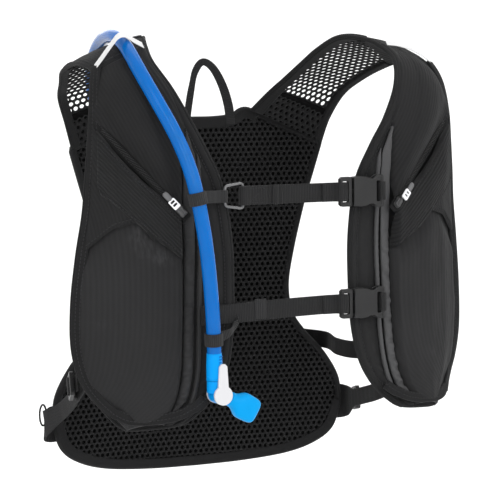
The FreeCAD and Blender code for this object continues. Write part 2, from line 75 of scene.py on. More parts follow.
def smooth(x, low=0.0, high=1.0):
    f = clamp((x - low) / (high - low))
    return f * f * (3 - 2 * f)


def through(points, k):
    """A smooth curve through the points, at a fractional index."""
    k = clamp(k, 0, len(points) - 1)
    i = min(int(k), len(points) - 2)
    f = k - i
    a, b = points[max(i - 1, 0)], points[i]
    c, d = points[i + 1], points[min(i + 2, len(points) - 1)]
    return (b * 2 + (c - a) * f + (a * 2 - b * 5 + c * 4 - d) * f * f + (b * 3 - a - c * 3 + d) * f**3) * 0.5


def sampled(points, count):
    """A smooth line through the points, in that many points."""
    points = [Vector(p) for p in points]
    return [through(points, (len(points) - 1) * i / (count - 1)) for i in range(count)]


def ramp(pairs, x):
    """A smooth value through (x, value) pairs."""
    if x <= pairs[0][0]:
        return pairs[0][1]
    for (x0, y0), (x1, y1) in zip(pairs, pairs[1:]):
        if x <= x1:
            return mix(y0, y1, smooth(x, x0, x1) * 0.35 + 0.65 * (x - x0) / (x1 - x0))
    return pairs[-1][1]


# The wearer's left ribbon: neck edge and arm edge at each station.
RIBBON = [
    ((51, 108, 120), (123, 113, 89)), ((64, 96, 137), (130, 109, 112)), ((72, 84, 148), (140, 97, 135)),
    ((79, 65, 161), (147, 73, 148.5)), ((87, 40, 176.5), (155, 46, 159)),
    ((94, 10, 187), (158, 12, 165.5)), ((104, -18, 185), (160, -16, 166)),
    ((109.5, -37, 179), (158, -38, 160)), ((113, -60, 166), (163, -49, 143)),
    ((104, -80, 143), (166, -54, 118)), ((90, -87, 115), (168, -54, 92)), ((77, -86, 92), (170, -53, 66)),
    ((63, -85, 62), (172, -51, 40)), ((56, -86, 20), (177, -47, 5)), ((55, -87, -20), (181, -44, -35)),
    ((57, -88, -60), (181, -44, -72)), ((64, -90, -92), (174, -48, -100)),
    ((80, -89, -116), (160, -58, -121)), ((103, -88, -134), (146, -71, -138)),
]
NECK = [Vector(n) for n, _ in RIBBON]
ARM = [Vector(a) for _, a in RIBBON]
MIDDLE = [(n + a) / 2 for n, a in zip(NECK, ARM)]
LAST = len(RIBBON) - 1
SEAM = 7
CROWN, RIBBON_T = 3.0, 4.0


def ribbon(k, t, h=0.0):
    """The point at station k, share t of the width and height h, on the wearer's left, in torso mm."""
    neck, arm = through(NECK, k), through(ARM, k)
    ahead = through(MIDDLE, k + 0.05) - through(MIDDLE, k - 0.05)
    out = ahead.cross(arm - neck).normalized()
    return neck + (arm - neck) * t + out * (CROWN * 4 * t * (1 - t) + h)


def skin(side, k, t, h=0.0):
    """The same point on either side's ribbon."""
    return mirrored(ribbon(k, t, h), side)


def width_at(k):
    return (through(ARM, k) - through(NECK, k)).length


RUN = [0.0]
for a, b in zip(MIDDLE, MIDDLE[1:]):
    RUN.append(RUN[-1] + (b - a).length)


def run_at(k):
    """How far along the ribbon's middle station k is, in mm."""
    i = min(int(clamp(k, 0, LAST)), LAST - 1)
    return mix(RUN[i], RUN[i + 1], k - i)


# ---------------------------------------------------------------- materials
def new_material(name, colour, rough, **inputs):
    m = bpy.data.materials.new(name)
    m.use_nodes = True
    shader = m.node_tree.nodes["Principled BSDF"]
    shader.inputs["Base Color"].default_value = (*colour, 1)
    shader.inputs["Roughness"].default_value = rough
    for key, value in inputs.items():
        shader.inputs[key.replace("_", " ")].default_value = value
    return m, m.node_tree, shader


def link(tree, out, socket):
    tree.links.new(out, socket)


def math_node(tree, operation, a, b=0.0, c=0.0):
    n = tree.nodes.new("ShaderNodeMath")
    n.operation = operation
    for i, value in enumerate((a, b, c)):
        if isinstance(value, (int, float)):
            n.inputs[i].default_value = value
        else:
            link(tree, value, n.inputs[i])
    return n.outputs[0]


def coordinates(tree, kind):
    """X, Y and Z sockets: the rows UV in mm, or the object's own place in mm."""
    if kind == "rows":
        source = tree.nodes.new("ShaderNodeUVMap")
        source.uv_map = "rows"
        vector = source.outputs[0]
    else:
        scaled = tree.nodes.new("ShaderNodeVectorMath")
        scaled.operation = "SCALE"
        scaled.inputs["Scale"].default_value = 1000
        link(tree, tree.nodes.new("ShaderNodeTexCoord").outputs["Object"], scaled.inputs[0])
        vector = scaled.outputs[0]
    split = tree.nodes.new("ShaderNodeSeparateXYZ")
    link(tree, vector, split.inputs[0])
    return split.outputs


def wave(tree, place, pitch):
    """0 to 1 and back once each pitch."""
    turned = math_node(tree, "MULTIPLY", place, tau / pitch)
    return math_node(tree, "MULTIPLY_ADD", math_node(tree, "SINE", turned), 0.5, 0.5)


def noise_node(tree, scale, detail=2.0, stretch=(1, 1, 1)):
    """Noise at a scale given in cycles a metre, 0 to 1."""
    mapping = tree.nodes.new("ShaderNodeMapping")
    mapping.inputs["Scale"].default_value = stretch
    link(tree, tree.nodes.new("ShaderNodeTexCoord").outputs["Object"], mapping.inputs["Vector"])
    n = tree.nodes.new("ShaderNodeTexNoise")
    n.inputs["Scale"].default_value = scale
    n.inputs["Detail"].default_value = detail
    link(tree, mapping.outputs[0], n.inputs["Vector"])
    return n.outputs["Fac"]


def colour_between(tree, factor, dark, light):
    n = tree.nodes.new("ShaderNodeMix")
    n.data_type = "RGBA"
    n.inputs["A"].default_value = (*dark, 1)
    n.inputs["B"].default_value = (*light, 1)
    link(tree, factor, n.inputs["Factor"])
    return n.outputs["Result"]


def set_bump(tree, shader, height, distance):
    n = tree.nodes.new("ShaderNodeBump")
    n.inputs["Distance"].default_value = distance
    link(tree, height, n.inputs["Height"])
    link(tree, n.outputs[0], shader.inputs["Normal"])


def grey(v):
    return (v, v, v * 1.03)


def fabric(name, base, rib=0.0, rib_depth=0.0002, weave=0.8, rough=0.9, sheen=0.04, spread=0.4, scuff=0.0,
           cross=False, kind="rows", rib_groove_shade=0.45):
    """Cloth with ribs of a pitch in mm along V (or across it), a fine weave, and patchy colour. The colour is
    also lighter on the crests of the ribs and weave and darker in their grooves, in step with the bump:
    painted shade.
    """
    m, tree, shader = new_material(
        name, grey(base), rough, Sheen_Weight=sheen, Sheen_Roughness=0.45, Specular_IOR_Level=0.12)
    u, v, w = coordinates(tree, kind)
    if kind != "rows":
        v = w
    fine = math_node(tree, "MULTIPLY", wave(tree, u, weave), wave(tree, v, weave))
    patches = noise_node(tree, 14, 4)
    height = math_node(tree, "MULTIPLY", fine, 0.3)
    # painted shade: the weave's grooves darker and its crests lighter, added to the random patches
    patches_and_groove_shade = math_node(tree, "MULTIPLY_ADD", patches, 0.7, math_node(tree, "MULTIPLY", fine, 0.25))
    if rib:
        ribs = wave(tree, v if cross else u, rib)
        height = math_node(tree, "ADD", height, ribs)
        # painted shade: the rib grooves darker and the crests lighter, in step with the bump
        patches_and_groove_shade = math_node(tree, "MULTIPLY", patches_and_groove_shade, 1 - rib_groove_shade)
        patches_and_groove_shade = math_node(tree, "MULTIPLY_ADD", ribs, rib_groove_shade, patches_and_groove_shade)
    if scuff:
        worn = math_node(tree, "MULTIPLY", math_node(tree, "SUBTRACT", noise_node(tree, 23, 6), 0.56), 7)
        grain = math_node(tree, "SUBTRACT", noise_node(tree, 420, 3, (1, 1, 0.25)), 0.35)
        marks = math_node(tree, "MULTIPLY", math_node(tree, "MAXIMUM", worn, 0.0), grain)
    colour = colour_between(tree, patches_and_groove_shade, grey(base * (1 - spread)), grey(base * (1 + spread * 1.4)))
    if scuff:
        chalk = colour_between(tree, math_node(tree, "MULTIPLY", marks, scuff), grey(0), grey(base * 3))
        worn_colour = tree.nodes.new("ShaderNodeVectorMath")
        worn_colour.operation = "ADD"
        link(tree, colour, worn_colour.inputs[0])
        link(tree, chalk, worn_colour.inputs[1])
        colour = worn_colour.outputs[0]
    link(tree, colour, shader.inputs["Base Color"])
    set_bump(tree, shader, height, rib_depth)
    return m


def moulded(name, colour, rough, grain=900, depth=0.00004, wear=0.25, **inputs):
    """Moulded plastic, rubber or metal: fine grain and slightly uneven gloss."""
    m, tree, shader = new_material(name, colour, rough, **inputs)
    fine = noise_node(tree, grain, 3)
    patches = noise_node(tree, 60, 3)
    dark = [c * (1 - wear) for c in colour]
    light = [min(1, c * (1 + wear)) for c in colour]
    link(tree, colour_between(tree, patches, dark, light), shader.inputs["Base Color"])
    link(tree, math_node(tree, "MULTIPLY_ADD", patches, 0.16, rough - 0.08), shader.inputs["Roughness"])
    set_bump(tree, shader, fine, depth)
    return m


BLACK = 0.0122
M = {
    "face": fabric("face_knit", BLACK * 1.1, rib=3.0, rib_depth=0.0002, rib_groove_shade=0.3),
    "overlay": fabric("overlay_ribs", BLACK * 1.15, rib=2.5, rib_depth=0.0006),
    "pocket": fabric("stretch_knit", BLACK * 1.45, rib=4.6, rib_depth=0.00012, scuff=1.0, rib_groove_shade=0.16),
    "lining": fabric("panel_lining", BLACK * 0.95, weave=0.6, rough=0.75),
    "binding": fabric("edge_binding", BLACK * 0.95, rib=1.1, rib_depth=0.00015, cross=True),
    "mesh": fabric("spacer_mesh", BLACK * 0.8, weave=0.7, rough=0.7),
    # the backing behind the open mesh: a real sheet, made far darker than the black fabric as painted shade
    # in the holes
    "backing_shade": fabric("mesh_backing_painted_shade", BLACK * 0.14, weave=0.7, sheen=0.0),
    # one satin strip in two copies: the lighter one for the lit wearer's left, the darker one a painted shade
    # for the right
    "satin": fabric("satin_strip", BLACK * 4.5, weave=0.5, rough=0.45, spread=0.2),
    "satin_painted_shade": fabric("satin_strip_painted_shade", BLACK * 2.0, weave=0.5, rough=0.5, spread=0.2),
    "webbing": fabric("ribbed_webbing", BLACK * 1.15, rib=1.5, rib_depth=0.0003, cross=True, rough=0.7),
    "elastic": fabric("ribbed_elastic", 0.02, rib=1.6, rib_depth=0.0004, cross=True, rough=0.65),
    "ripstop": fabric("ripstop_shell", BLACK * 1.05, rib=5.0, rib_depth=0.00018, weave=5.0, rough=0.6),
    "tape": fabric("zip_tape", BLACK * 0.8, weave=0.7),
    "thread": fabric("thread", 0.028, weave=0.4, kind="object"),
    # a darker copy of the ribbed webbing for the upper side straps, which sit in shadow: painted shade
    "strap_in_shade": fabric("webbing_painted_shade", BLACK * 0.45, rib=1.5, rib_depth=0.0002, cross=True),
    "band": moulded("reflective_film", (0.6, 0.6, 0.6), 0.38, grain=1500, wear=0.08),
    "plastic": moulded("buckle_plastic", grey(0.010), 0.34, wear=0.3, Specular_IOR_Level=0.3),
    "wire": moulded("ring_wire", grey(0.10), 0.28, wear=0.3, Specular_IOR_Level=0.6),
    "coil": moulded("zip_coil", grey(0.015), 0.4),
    "metal": moulded("zip_metal", grey(0.05), 0.3, Metallic=0.5),
    "pull_white": moulded("pull_white", grey(0.78), 0.4, wear=0.05),
    "pull_grey": moulded("pull_cord", grey(0.10), 0.7, wear=0.25),
    "hose": moulded("hose_blue", (0.0, 0.10, 0.37), 0.1, depth=0.000006, wear=0.12, Specular_IOR_Level=0.16),
    "valve": moulded("valve_blue", (0.0, 0.25, 0.66), 0.3, wear=0.05, Specular_IOR_Level=0.08),
    "bite": moulded("bite_silicone", (0.0, 0.26, 0.60), 0.4, wear=0.06, Specular_IOR_Level=0.08),
    "lever": moulded("lever_white", grey(0.53), 0.4, wear=0.04, Specular_IOR_Level=0.2),
    "film": moulded("bladder_film", (0.45, 0.62, 0.8), 0.2, wear=0.1, Coat_Weight=0.4),
}


# ---------------------------------------------------------------- mesh making
def new_object(name, data):
    obj = bpy.data.objects.new(name, data)
    bpy.context.scene.collection.objects.link(obj)
    return obj


def make(name, verts, faces, material, uvs=None, flat=False):
    """A mesh object from points in the row frame. uvs holds one (u, v) in mm for each corner."""
    mesh = bpy.data.meshes.new(name)
    mesh.from_pydata([tuple(v) for v in verts], [], faces)
    if uvs:
        layer = mesh.uv_layers.new(name="rows")
        layer.data.foreach_set("uv", [c for uv in uvs for c in uv])
    mesh.materials.append(M[material])
    obj = new_object(name, mesh)
    bm = bmesh.new()
    bm.from_mesh(mesh)
    bmesh.ops.recalc_face_normals(bm, faces=bm.faces)
    bm.to_mesh(mesh)
    bm.free()
    if flat:
        mesh.shade_flat()
    else:
        mesh.shade_smooth()
    return obj


def tag(obj, body, slot, *nodes):
    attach(obj, body)
    if nodes:
        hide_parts(*nodes)
    return obj


def on_vest(obj, slot, *nodes):
    return tag(obj, "vest", slot, *nodes)


def padded_piece(obj, slot, node):
    on_vest(obj, slot, node)


def modify(obj, kind, **settings):
    m = obj.modifiers.new(kind.lower(), kind)
    for key, value in settings.items():
        setattr(m, key, value)
    return obj


def soften(obj, width):
    modify(obj, "BEVEL", width=width, segments=2, limit_method="ANGLE", angle_limit=radians(35))
    obj.data.shade_smooth()
    return modify(obj, "WEIGHTED_NORMAL", keep_sharp=True)


def loft(name, rings, material, uv=None, loop=False):
    """Skin over rings of points. uv(i, j) gives the corner's (u, v) in mm."""
    n, m = len(rings[0]), len(rings)
    faces, uvs = [], []
    for i in range(m if loop else m - 1):
        for j in range(n):
            corners = ((i, j), (i, j + 1), (i + 1, j + 1), (i + 1, j))
            faces.append([(a % m) * n + b % n for a, b in corners])
            uvs += [uv(a, b) if uv else (b, a) for a, b in corners]
    if not loop:
        for i in (0, m - 1):
            faces.append([i * n + j for j in range(n)])
            uvs += [uv(i, j) if uv else (j, i) for j in range(n)]
    return make(name, [to_row(p) for r in rings for p in r], faces, material, uvs)


def slab(name, rows, cols, pair, material, uv):
    """A closed sheet of rows by cols faces, where pair(i, j) gives the upper and the lower point."""
    pairs = [pair(i, j) for i in range(rows + 1) for j in range(cols + 1)]
    verts = [to_row(p) for layer in zip(*pairs) for p in layer]
    rows, cols, count = rows + 1, cols + 1, len(pairs)
    faces, uvs = [], []

    def add(corners):
        faces.append([s * count + i * cols + j for s, i, j in corners])
        uvs.extend(uv(i, j) for _, i, j in corners)

    for i in range(rows - 1):
        for j in range(cols - 1):
            for s in (0, 1):
                add([(s, i, j), (s, i, j + 1), (s, i + 1, j + 1), (s, i + 1, j)])
    edge = [(0, j) for j in range(cols)] + [(i, cols - 1) for i in range(1, rows)]
    edge += [(rows - 1, j) for j in range(cols - 2, -1, -1)] + [(i, 0) for i in range(rows - 2, 0, -1)]
    for a, b in zip(edge, edge[1:] + edge[:1]):
        add([(0, *a), (0, *b), (1, *b), (1, *a)])
    return make(name, verts, faces, material, uvs)


def frame_along(points, wide, loop=False):
    """For each point of a line: the point, and the sideways and outward directions."""
    rows, last = [], len(points) - 1
    for i, (p, side) in enumerate(zip(points, per_point(wide, points))):
        if loop:
            ahead = points[(i + 1) % len(points)] - points[i - 1]
        else:
            ahead = points[min(i + 1, last)] - points[max(i - 1, 0)]
        out = ahead.cross(Vector(side)).normalized()
        rows.append((p, out.cross(ahead).normalized(), out))
    return rows


def lengths(points):
    total = [0.0]
    for a, b in zip(points, points[1:]):
        total.append(total[-1] + (b - a).length)
    return total


# A strip's section, in shares of its half width and half thickness.
STRIP = [(-1, -0.3), (-0.97, -0.8), (-0.85, -1), (0.85, -1), (0.97, -0.8), (1, -0.3),
         (1, 0.3), (0.97, 0.8), (0.85, 1), (0, 1), (-0.85, 1), (-0.97, 0.8), (-1, 0.3)]


def per_point(value, points):
    return value if isinstance(value, list) else [value] * len(points)


def band(name, points, wide, width, thick, material, loop=False):
    """A flat strip along a line of points, with rounded edges. width may be a list."""
    widths = per_point(width, points)
    rings = [[p + side * (a * w / 2) + out * (b * thick / 2) for a, b in STRIP]
             for (p, side, out), w in zip(frame_along(points, wide, loop), widths)]
    run = lengths(points + points[:1])
    return loft(name, rings, material,
                lambda i, j: (STRIP[j % len(STRIP)][0] * widths[0] / 2, run[i]), loop=loop)


def tube(name, points, radius, material, loop=False, sides=10, flat=1.0, wide=UPWARD):
    """A round or flattened tube along a line of points. radius may be a list."""
    radii = per_point(radius, points)
    rings = [[p + side * (r * cos(tau * j / sides)) + out * (r * flat * sin(tau * j / sides))
              for j in range(sides)] for (p, side, out), r in zip(frame_along(points, wide, loop), radii)]
    run = lengths(points + points[:1])
    return loft(name, rings, material, lambda i, j: (tau * radii[0] * j / sides, run[i]), loop=loop)


def stitches(name, line, out, pitch=3.2, long=2.1, radius=0.33):
    """Short threads along a line of points; out gives the outward direction of each point."""
    run = lengths(line)
    verts, faces = [], []
    count = int(run[-1] / pitch)
    for s in range(count):
        ends = []
        for target in (s * pitch + 0.3, s * pitch + 0.3 + long):
            i = next((i for i in range(len(run) - 1) if run[i + 1] >= target), len(run) - 2)
            f = clamp((target - run[i]) / max(run[i + 1] - run[i], 1e-6))
            ends.append((mix(line[i], line[i + 1], f), out[i]))
        (a, up), (b, _) = ends
        ahead = (b - a).normalized()
        side = ahead.cross(up).normalized()
        base = len(verts)
        for place, size, lift in ((0, 0.5, 0.0), (0.2, 1, 0.25), (0.8, 1, 0.25), (1, 0.5, 0.0)):
            p = mix(a, b, place) + up * lift
            for j in range(6):
                turn, r = pi * j / 3, radius * size
                verts.append(to_row(p + side * (r * cos(turn)) + up * (r * sin(turn))))
        for ring in range(3):
            for j in range(6):
                k = base + ring * 6
                faces.append([k + j, k + (j + 1) % 6, k + 6 + (j + 1) % 6, k + 6 + j])
        faces.append([base + j for j in range(6)])
        faces.append([base + 18 + j for j in range(6)])
    return make(name, verts, faces, "thread")


def boxes(name, blocks, material, place=None, width=0.0005):
    """One piece of several bevelled blocks, each (x0, x1, y0, y1, z0, z1) in mm."""
    verts, faces = [], []
    for x0, x1, y0, y1, z0, z1 in blocks:
        base = len(verts)
        for x, y, z in ((x0, y0, z0), (x1, y0, z0), (x1, y1, z0), (x0, y1, z0),
                        (x0, y0, z1), (x1, y0, z1), (x1, y1, z1), (x0, y1, z1)):
            verts.append(to_row(place(x, y, z) if place else Vector((x, y, z))))
        for f in ((0, 1, 2, 3), (4, 5, 6, 7), (0, 1, 5, 4), (1, 2, 6, 5), (2, 3, 7, 6), (3, 0, 4, 7)):
            faces.append([base + i for i in f])
    return soften(make(name, verts, faces, material, flat=True), width)


def plate(name, outline, holes, place, low, high, material, width=0.0005):
    """A flat moulding: an outline with holes, in (u, v) mm, between two heights. place(u, v, w) maps to
    torso mm."""
    bm = bmesh.new()
    edges = []
    for ring in [outline, *holes]:
        verts = [bm.verts.new(to_row(place(u, v, low))) for u, v in ring]
        edges += [bm.edges.new((verts[i], verts[(i + 1) % len(verts)])) for i in range(len(verts))]
    bmesh.ops.triangle_fill(bm, use_beauty=True, use_dissolve=True, edges=edges)
    lift = (place(0, 0, high) - place(0, 0, low)) / 1000
    made = bmesh.ops.extrude_face_region(bm, geom=bm.faces[:] + bm.edges[:])
    bmesh.ops.translate(bm, vec=lift, verts=[g for g in made["geom"] if isinstance(g, bmesh.types.BMVert)])
    bmesh.ops.recalc_face_normals(bm, faces=bm.faces)
    mesh = bpy.data.meshes.new(name)
    bm.to_mesh(mesh)
    bm.free()
    mesh.materials.append(M[material])
    return soften(new_object(name, mesh), width)


def rounded_box(u0, u1, v0, v1, r, steps=4):
    """An outline with rounded corners."""
    ring = []
    corners = ((u1 - r, v1 - r, 0), (u0 + r, v1 - r, 90), (u0 + r, v0 + r, 180), (u1 - r, v0 + r, 270))
    for cu, cv, start in corners:
        for i in range(steps + 1):
            turn = radians(start + 90 * i / steps)
            ring.append((cu + r * cos(turn), cv + r * sin(turn)))
    return ring


def join(name, objects):
    """One piece of several, keeping their materials, with the modifiers applied."""
    bpy.context.view_layer.update()
    graph = bpy.context.evaluated_depsgraph_get()
    for o in objects:
        mesh = bpy.data.meshes.new_from_object(o.evaluated_get(graph))
        o.modifiers.clear()
        o.data = mesh
    with bpy.context.temp_override(active_object=objects[0], selected_editable_objects=objects):
        bpy.ops.object.join()
    objects[0].name = name
    return objects[0]


# ---------------------------------------------------------------- camera, floor, lights
AZIMUTH, ELEVATION, ROLL = radians(-24), radians(5), radians(-0.7)
DISTANCE, LENS = 1.925, 158.4


def make_camera():
    back = Vector((sin(AZIMUTH) * cos(ELEVATION), -cos(AZIMUTH) * cos(ELEVATION), sin(ELEVATION)))
    right = Vector((cos(AZIMUTH), sin(AZIMUTH), 0))
    up = back.cross(right)
    turned = right * cos(ROLL) + up * sin(ROLL)
    top = up * cos(ROLL) - right * sin(ROLL)
    data = bpy.data.cameras.new("camera")
    data.lens, data.sensor_width = LENS, 36
    data.clip_end = 30
    camera = new_object("camera", data)
    camera.matrix_world = Matrix.Translation(at(0, 0, 0) + back * DISTANCE) @ Matrix(
        (turned, top, back)).transposed().to_4x4()
    bpy.context.scene.camera = camera


def area_light(name, place, target, size, power):
    data = bpy.data.lights.new(name, "AREA")
    data.shape = "RECTANGLE"
    data.size, data.size_y = size
    data.energy = power
    light = new_object(name, data)
    light.location = place
    light.rotation_euler = (Vector(target) - Vector(place)).to_track_quat("-Z", "Y").to_euler()


FLOOR_Z = -0.62
FLOOR_PROFILE = [(0.01, 0), (1, 0), (2.5, 0), (3.6, 0), (4.2, 0.08), (4.7, 0.35), (4.95, 0.9), (5, 2),
                 (5, 4.5)]


def make_stage():
    """A pale floor that curves up all round into a backdrop."""
    rings = [[Vector((radius * cos(radians(a)), radius * sin(radians(a)), z + FLOOR_Z)) * 1000 + HOOK
              for a in range(0, 360, 6)] for radius, z in FLOOR_PROFILE]
    M["floor"], _, _ = new_material("pale_floor", (0.6, 0.6, 0.6), 0.9, Emission_Strength=0.5)
    M["floor"].node_tree.nodes["Principled BSDF"].inputs["Emission Color"].default_value = (1, 1, 1, 1)
    floor = loft("floor", rings, "floor")
    world = bpy.data.worlds.new("studio")
    world.use_nodes = True
    background = world.node_tree.nodes["Background"].inputs
    background["Color"].default_value = (1, 1, 1, 1)
    background["Strength"].default_value = 1.0
    bpy.context.scene.world = world
    for name, place, size, power in (
            ("key", (-1.5, -1.9, 1.3), (1.1, 1.1), 7), ("fill", (1.9, -1.7, 0.5), (1.0, 1.4), 3),
            ("strip", (0.45, -2.1, 0.5), (0.014, 1.3), 9), ("strip_low", (-0.9, -2.0, 0.2), (0.014, 1.1), 5),
            ("top", (0.2, 0.3, 1.9), (1.4, 0.9), 6), ("back", (0.6, 2.0, 0.9), (1.6, 1.2), 7)):
        area_light(name, place, (0, -0.1, -0.15), size, power)
    bpy.context.scene.view_settings.view_transform = "Standard"


make_camera()
make_stage()

# ---------------------------------------------------------------- hose
# The same points as the tube's route in part.py, as the control points of one smooth line.
HOSE_D = 12.0
HOSE_ROUTE = [
    (-6, 144, -118), (-20, 143, -92), (-33, 141.5, -58), (-42, 139.5, -20), (-47, 138, 16),
    (-54, 136.5, 48), (-66, 135.5, 76), (-82, 132, 102), (-97, 120, 125), (-108.5, 100, 147.5),
    (-115.5, 75.5, 166.5), (-121, 46, 180), (-126, 14, 187), (-130, -18, 187.7), (-131, -46, 179.8),
    (-129, -73, 157.5), (-120, -91.5, 131), (-108, -101, 104), (-98, -105.5, 76), (-92, -107.5, 47),
    (-87, -108, 16), (-83.5, -107.5, -16), (-81, -106, -46), (-79.5, -104, -74), (-79.5, -103.5, -96),
]


def hose_curve(name, bevel):
    data = bpy.data.curves.new(name, "CURVE")
    data.dimensions = "3D"
    data.resolution_u = 10
    data.bevel_depth, data.bevel_resolution, data.use_fill_caps = bevel, 8, True
    spline = data.splines.new("NURBS")
    spline.points.add(len(HOSE_ROUTE) - 1)
    for point, place in zip(spline.points, HOSE_ROUTE):
        point.co = (*at(*place), 1)
    spline.order_u = 3
    spline.use_endpoint_u = True
    return new_object(name, data)


def hose_line():
    """The hose's own line, in torso mm."""
    bare = hose_curve("hose_line", 0.0)
    bpy.context.view_layer.update()
    mesh = bpy.data.meshes.new_from_object(bare.evaluated_get(bpy.context.evaluated_depsgraph_get()))
    line = [v.co * 1000 + HOOK for v in mesh.vertices]
    bpy.data.objects.remove(bare)
    return line


HOSE = hose_line()
FRONT = [p for p in HOSE if p.y < -60]


def hose_at(z):
    """The hose's middle and direction where its front stretch passes a height."""
    i = min(range(1, len(FRONT) - 1), key=lambda i: abs(FRONT[i].z - z))
    ahead = FRONT[i + 1] - FRONT[i - 1]
    return FRONT[i] + ahead * ((z - FRONT[i].z) / ahead.z), ahead.normalized()


hose = hose_curve("drinking_hose", HOSE_D / 2000)
hose.data.materials.append(M["hose"])
on_vest(hose, "hose_blue", "hose")

# ---------------------------------------------------------------- front panels
# (station, share of the width) along the pocket's inner seam.
SEAM_SHARES = [(9.0, 0.02), (9.9, 0.05), (10.4, 0.11), (10.9, 0.18), (11.5, 0.25), (12.1, 0.30), (12.5, 0.31)]
# How far the pocket stands off the ribbon across its width, and how full it is along it.
POCKET_DEPTH = [(0.30, 9.0), (0.335, 11.2), (0.45, 14.5), (0.60, 16.0), (0.75, 13.5),
                (0.90, 6.5), (0.97, 2.5), (1.0, 0.8)]
POCKET_FILL = [(7, 0.03), (8, 0.3), (9, 0.5), (10, 0.8), (11, 1.0), (16.2, 1.0), (17.2, 0.88),
               (17.75, 0.7), (18, 0.5)]
WALL_T, FACE_T = 0.335, (0.308, 0.962)
ZIP_ALONG = Vector((0.637102, 0.254969, 0.727387))
ZIP_ACROSS = Vector((-0.702025, -0.197658, 0.684172))
ZIP_OUT = ZIP_ALONG.cross(ZIP_ACROSS)
PULL_PIN = Vector((0.105007, -0.207302, -0.112907)) * 1000 + HOOK
ZIP_T, ZIP_LONG = 1.8, 96.8
PIN_S, PIN_H = 5.5, 7.2
ZIP_START = PULL_PIN - ZIP_ALONG * PIN_S - ZIP_OUT * PIN_H


def zip_place(s, w, h):
    return ZIP_START + ZIP_ALONG * s + ZIP_ACROSS * w + ZIP_OUT * h


def seam_share(k):
    """The share of the width where the lining meets the pocket. It runs out to the neck edge at the top."""
    return ramp(SEAM_SHARES, k)


def pocket_height(k, t):
    wall = clamp((t - seam_share(k)) / (WALL_T - seam_share(k)))
    return 0.4 + ramp(POCKET_DEPTH, t) * ramp(POCKET_FILL, k) * wall**0.7


def face_point(side, k, t, lift=0):
    """A point of the pocket's face. Near the zip the face comes in to lie along it."""
    p = ribbon(k, t, pocket_height(k, t) + lift)
    s = clamp((p - ZIP_START).dot(ZIP_ALONG), -4, ZIP_LONG + 2)
    across = (p - zip_place(s, 0, 0)).dot(ZIP_ACROSS)
    beyond = abs((p - ZIP_START).dot(ZIP_ALONG) - s)
    pull = exp(-(across / 13) ** 2 - (beyond / 12) ** 2)
    sink = (p - zip_place(s, across, ZIP_T * 0.6 + lift)).dot(ZIP_OUT)
    return mirrored(p - ZIP_OUT * (sink * pull), side)


def zip_k(t):
    return ramp([(0.27, 12.5), (0.31, 12.33), (0.90, 9.36), (1.0, 8.9)], t)


def seam_k(t):
    """Where the overlay's lower seam crosses the ribbon."""
    return ramp([(0.29, 13.36), (0.46, 12.9), (0.64, 12.36), (0.88, 11.5), (0.92, 11.0)], t)


def hem_k(t):
    """The lower edge of the upper flap."""
    return ramp([(0.27, 13.4), (0.46, 12.95), (0.64, 12.36), (0.78, 12.42), (1.0, 12.95)], t)


def wrinkle(p, size, scale):
    return noise.noise(Vector(p) / scale) * size


def rim(d, reach):
    """0 at an edge, 1 that far in, rounded."""
    f = clamp(d / reach)
    return sqrt(1 - (1 - f) ** 2)


FAR = 99


def face_slab(name, side, place, rows, cols, height, thick, material, edges, reach=2.0, ripple=0.35,
              zip_ribs=False):
    """A sheet on the pocket's face. place(a, b) gives station and share for a, b from 0 to 1; edges says
    which of its four sides (a=0, a=1, b=0, b=1) roll down; height may be a function of station and share."""
    uvs = {}

    def pair(i, j):
        a, b = i / rows, j / cols
        k, t = place(a, b)
        span_a = run_at(place(1, b)[0]) - run_at(place(0, b)[0])
        span_b = width_at(k) * (place(a, 1)[1] - place(a, 0)[1])
        gaps = (a * span_a, (1 - a) * span_a, b * span_b, (1 - b) * span_b)
        near = min(gap if rolls else FAR for gap, rolls in zip(gaps, edges))
        base = face_point(side, k, t)
        lift = height(k, t) if callable(height) else height
        ripples = wrinkle((base.x, base.y, base.z * 0.6), ripple, 17) + wrinkle(base, ripple * 0.4, 6)
        from_zip = mirrored(base, side) - ZIP_START
        on_zip = (from_zip.dot(ZIP_ACROSS), from_zip.dot(ZIP_ALONG))
        uvs[i, j] = on_zip if zip_ribs else (width_at(k) * t, run_at(k))
        return (face_point(side, k, t, lift + ripples - thick * (1 - rim(near, reach))),
                face_point(side, k, t, lift - thick * 1.15))

    return slab(name, rows, cols, pair, material, lambda i, j: uvs[i, j])


def sew(name, slot, point, place, count, lift):
    """Stitches on a surface. point(k, t, h) is a point of it, and place(f) gives station and share."""
    places = [place(i / (count - 1)) for i in range(count)]
    line = [point(*kt, lift) for kt in places]
    above = [point(*kt, lift + 1.0) for kt in places]
    on_vest(stitches(name, line, [(b - a).normalized() for a, b in zip(line, above)]), slot)


def lining_height(k, t):
    """The padded edge of the panel: a rolled binding, then quilted lining up to the piping."""
    d = t * width_at(k)
    open_ = smooth(seam_share(k), 0.1, 0.26)
    roll = 0.9 * exp(-((d - 3.0) / 2.8) ** 2)
    seam = -1.2 * exp(-((d - 7.2) / 0.9) ** 2)
    pad = 1.5 * sin(pi * clamp((d - 7.2) / 12))
    run = run_at(k)
    quilt = 0.55 * sin(run * 2 * pi / 10 + 5 * noise.noise(Vector((run / 22, d / 30, 0))))
    quilt *= smooth(d, 7.2, 9.5) * (1 - smooth(d, 16, 20))
    return roll + (seam + pad + quilt) * open_


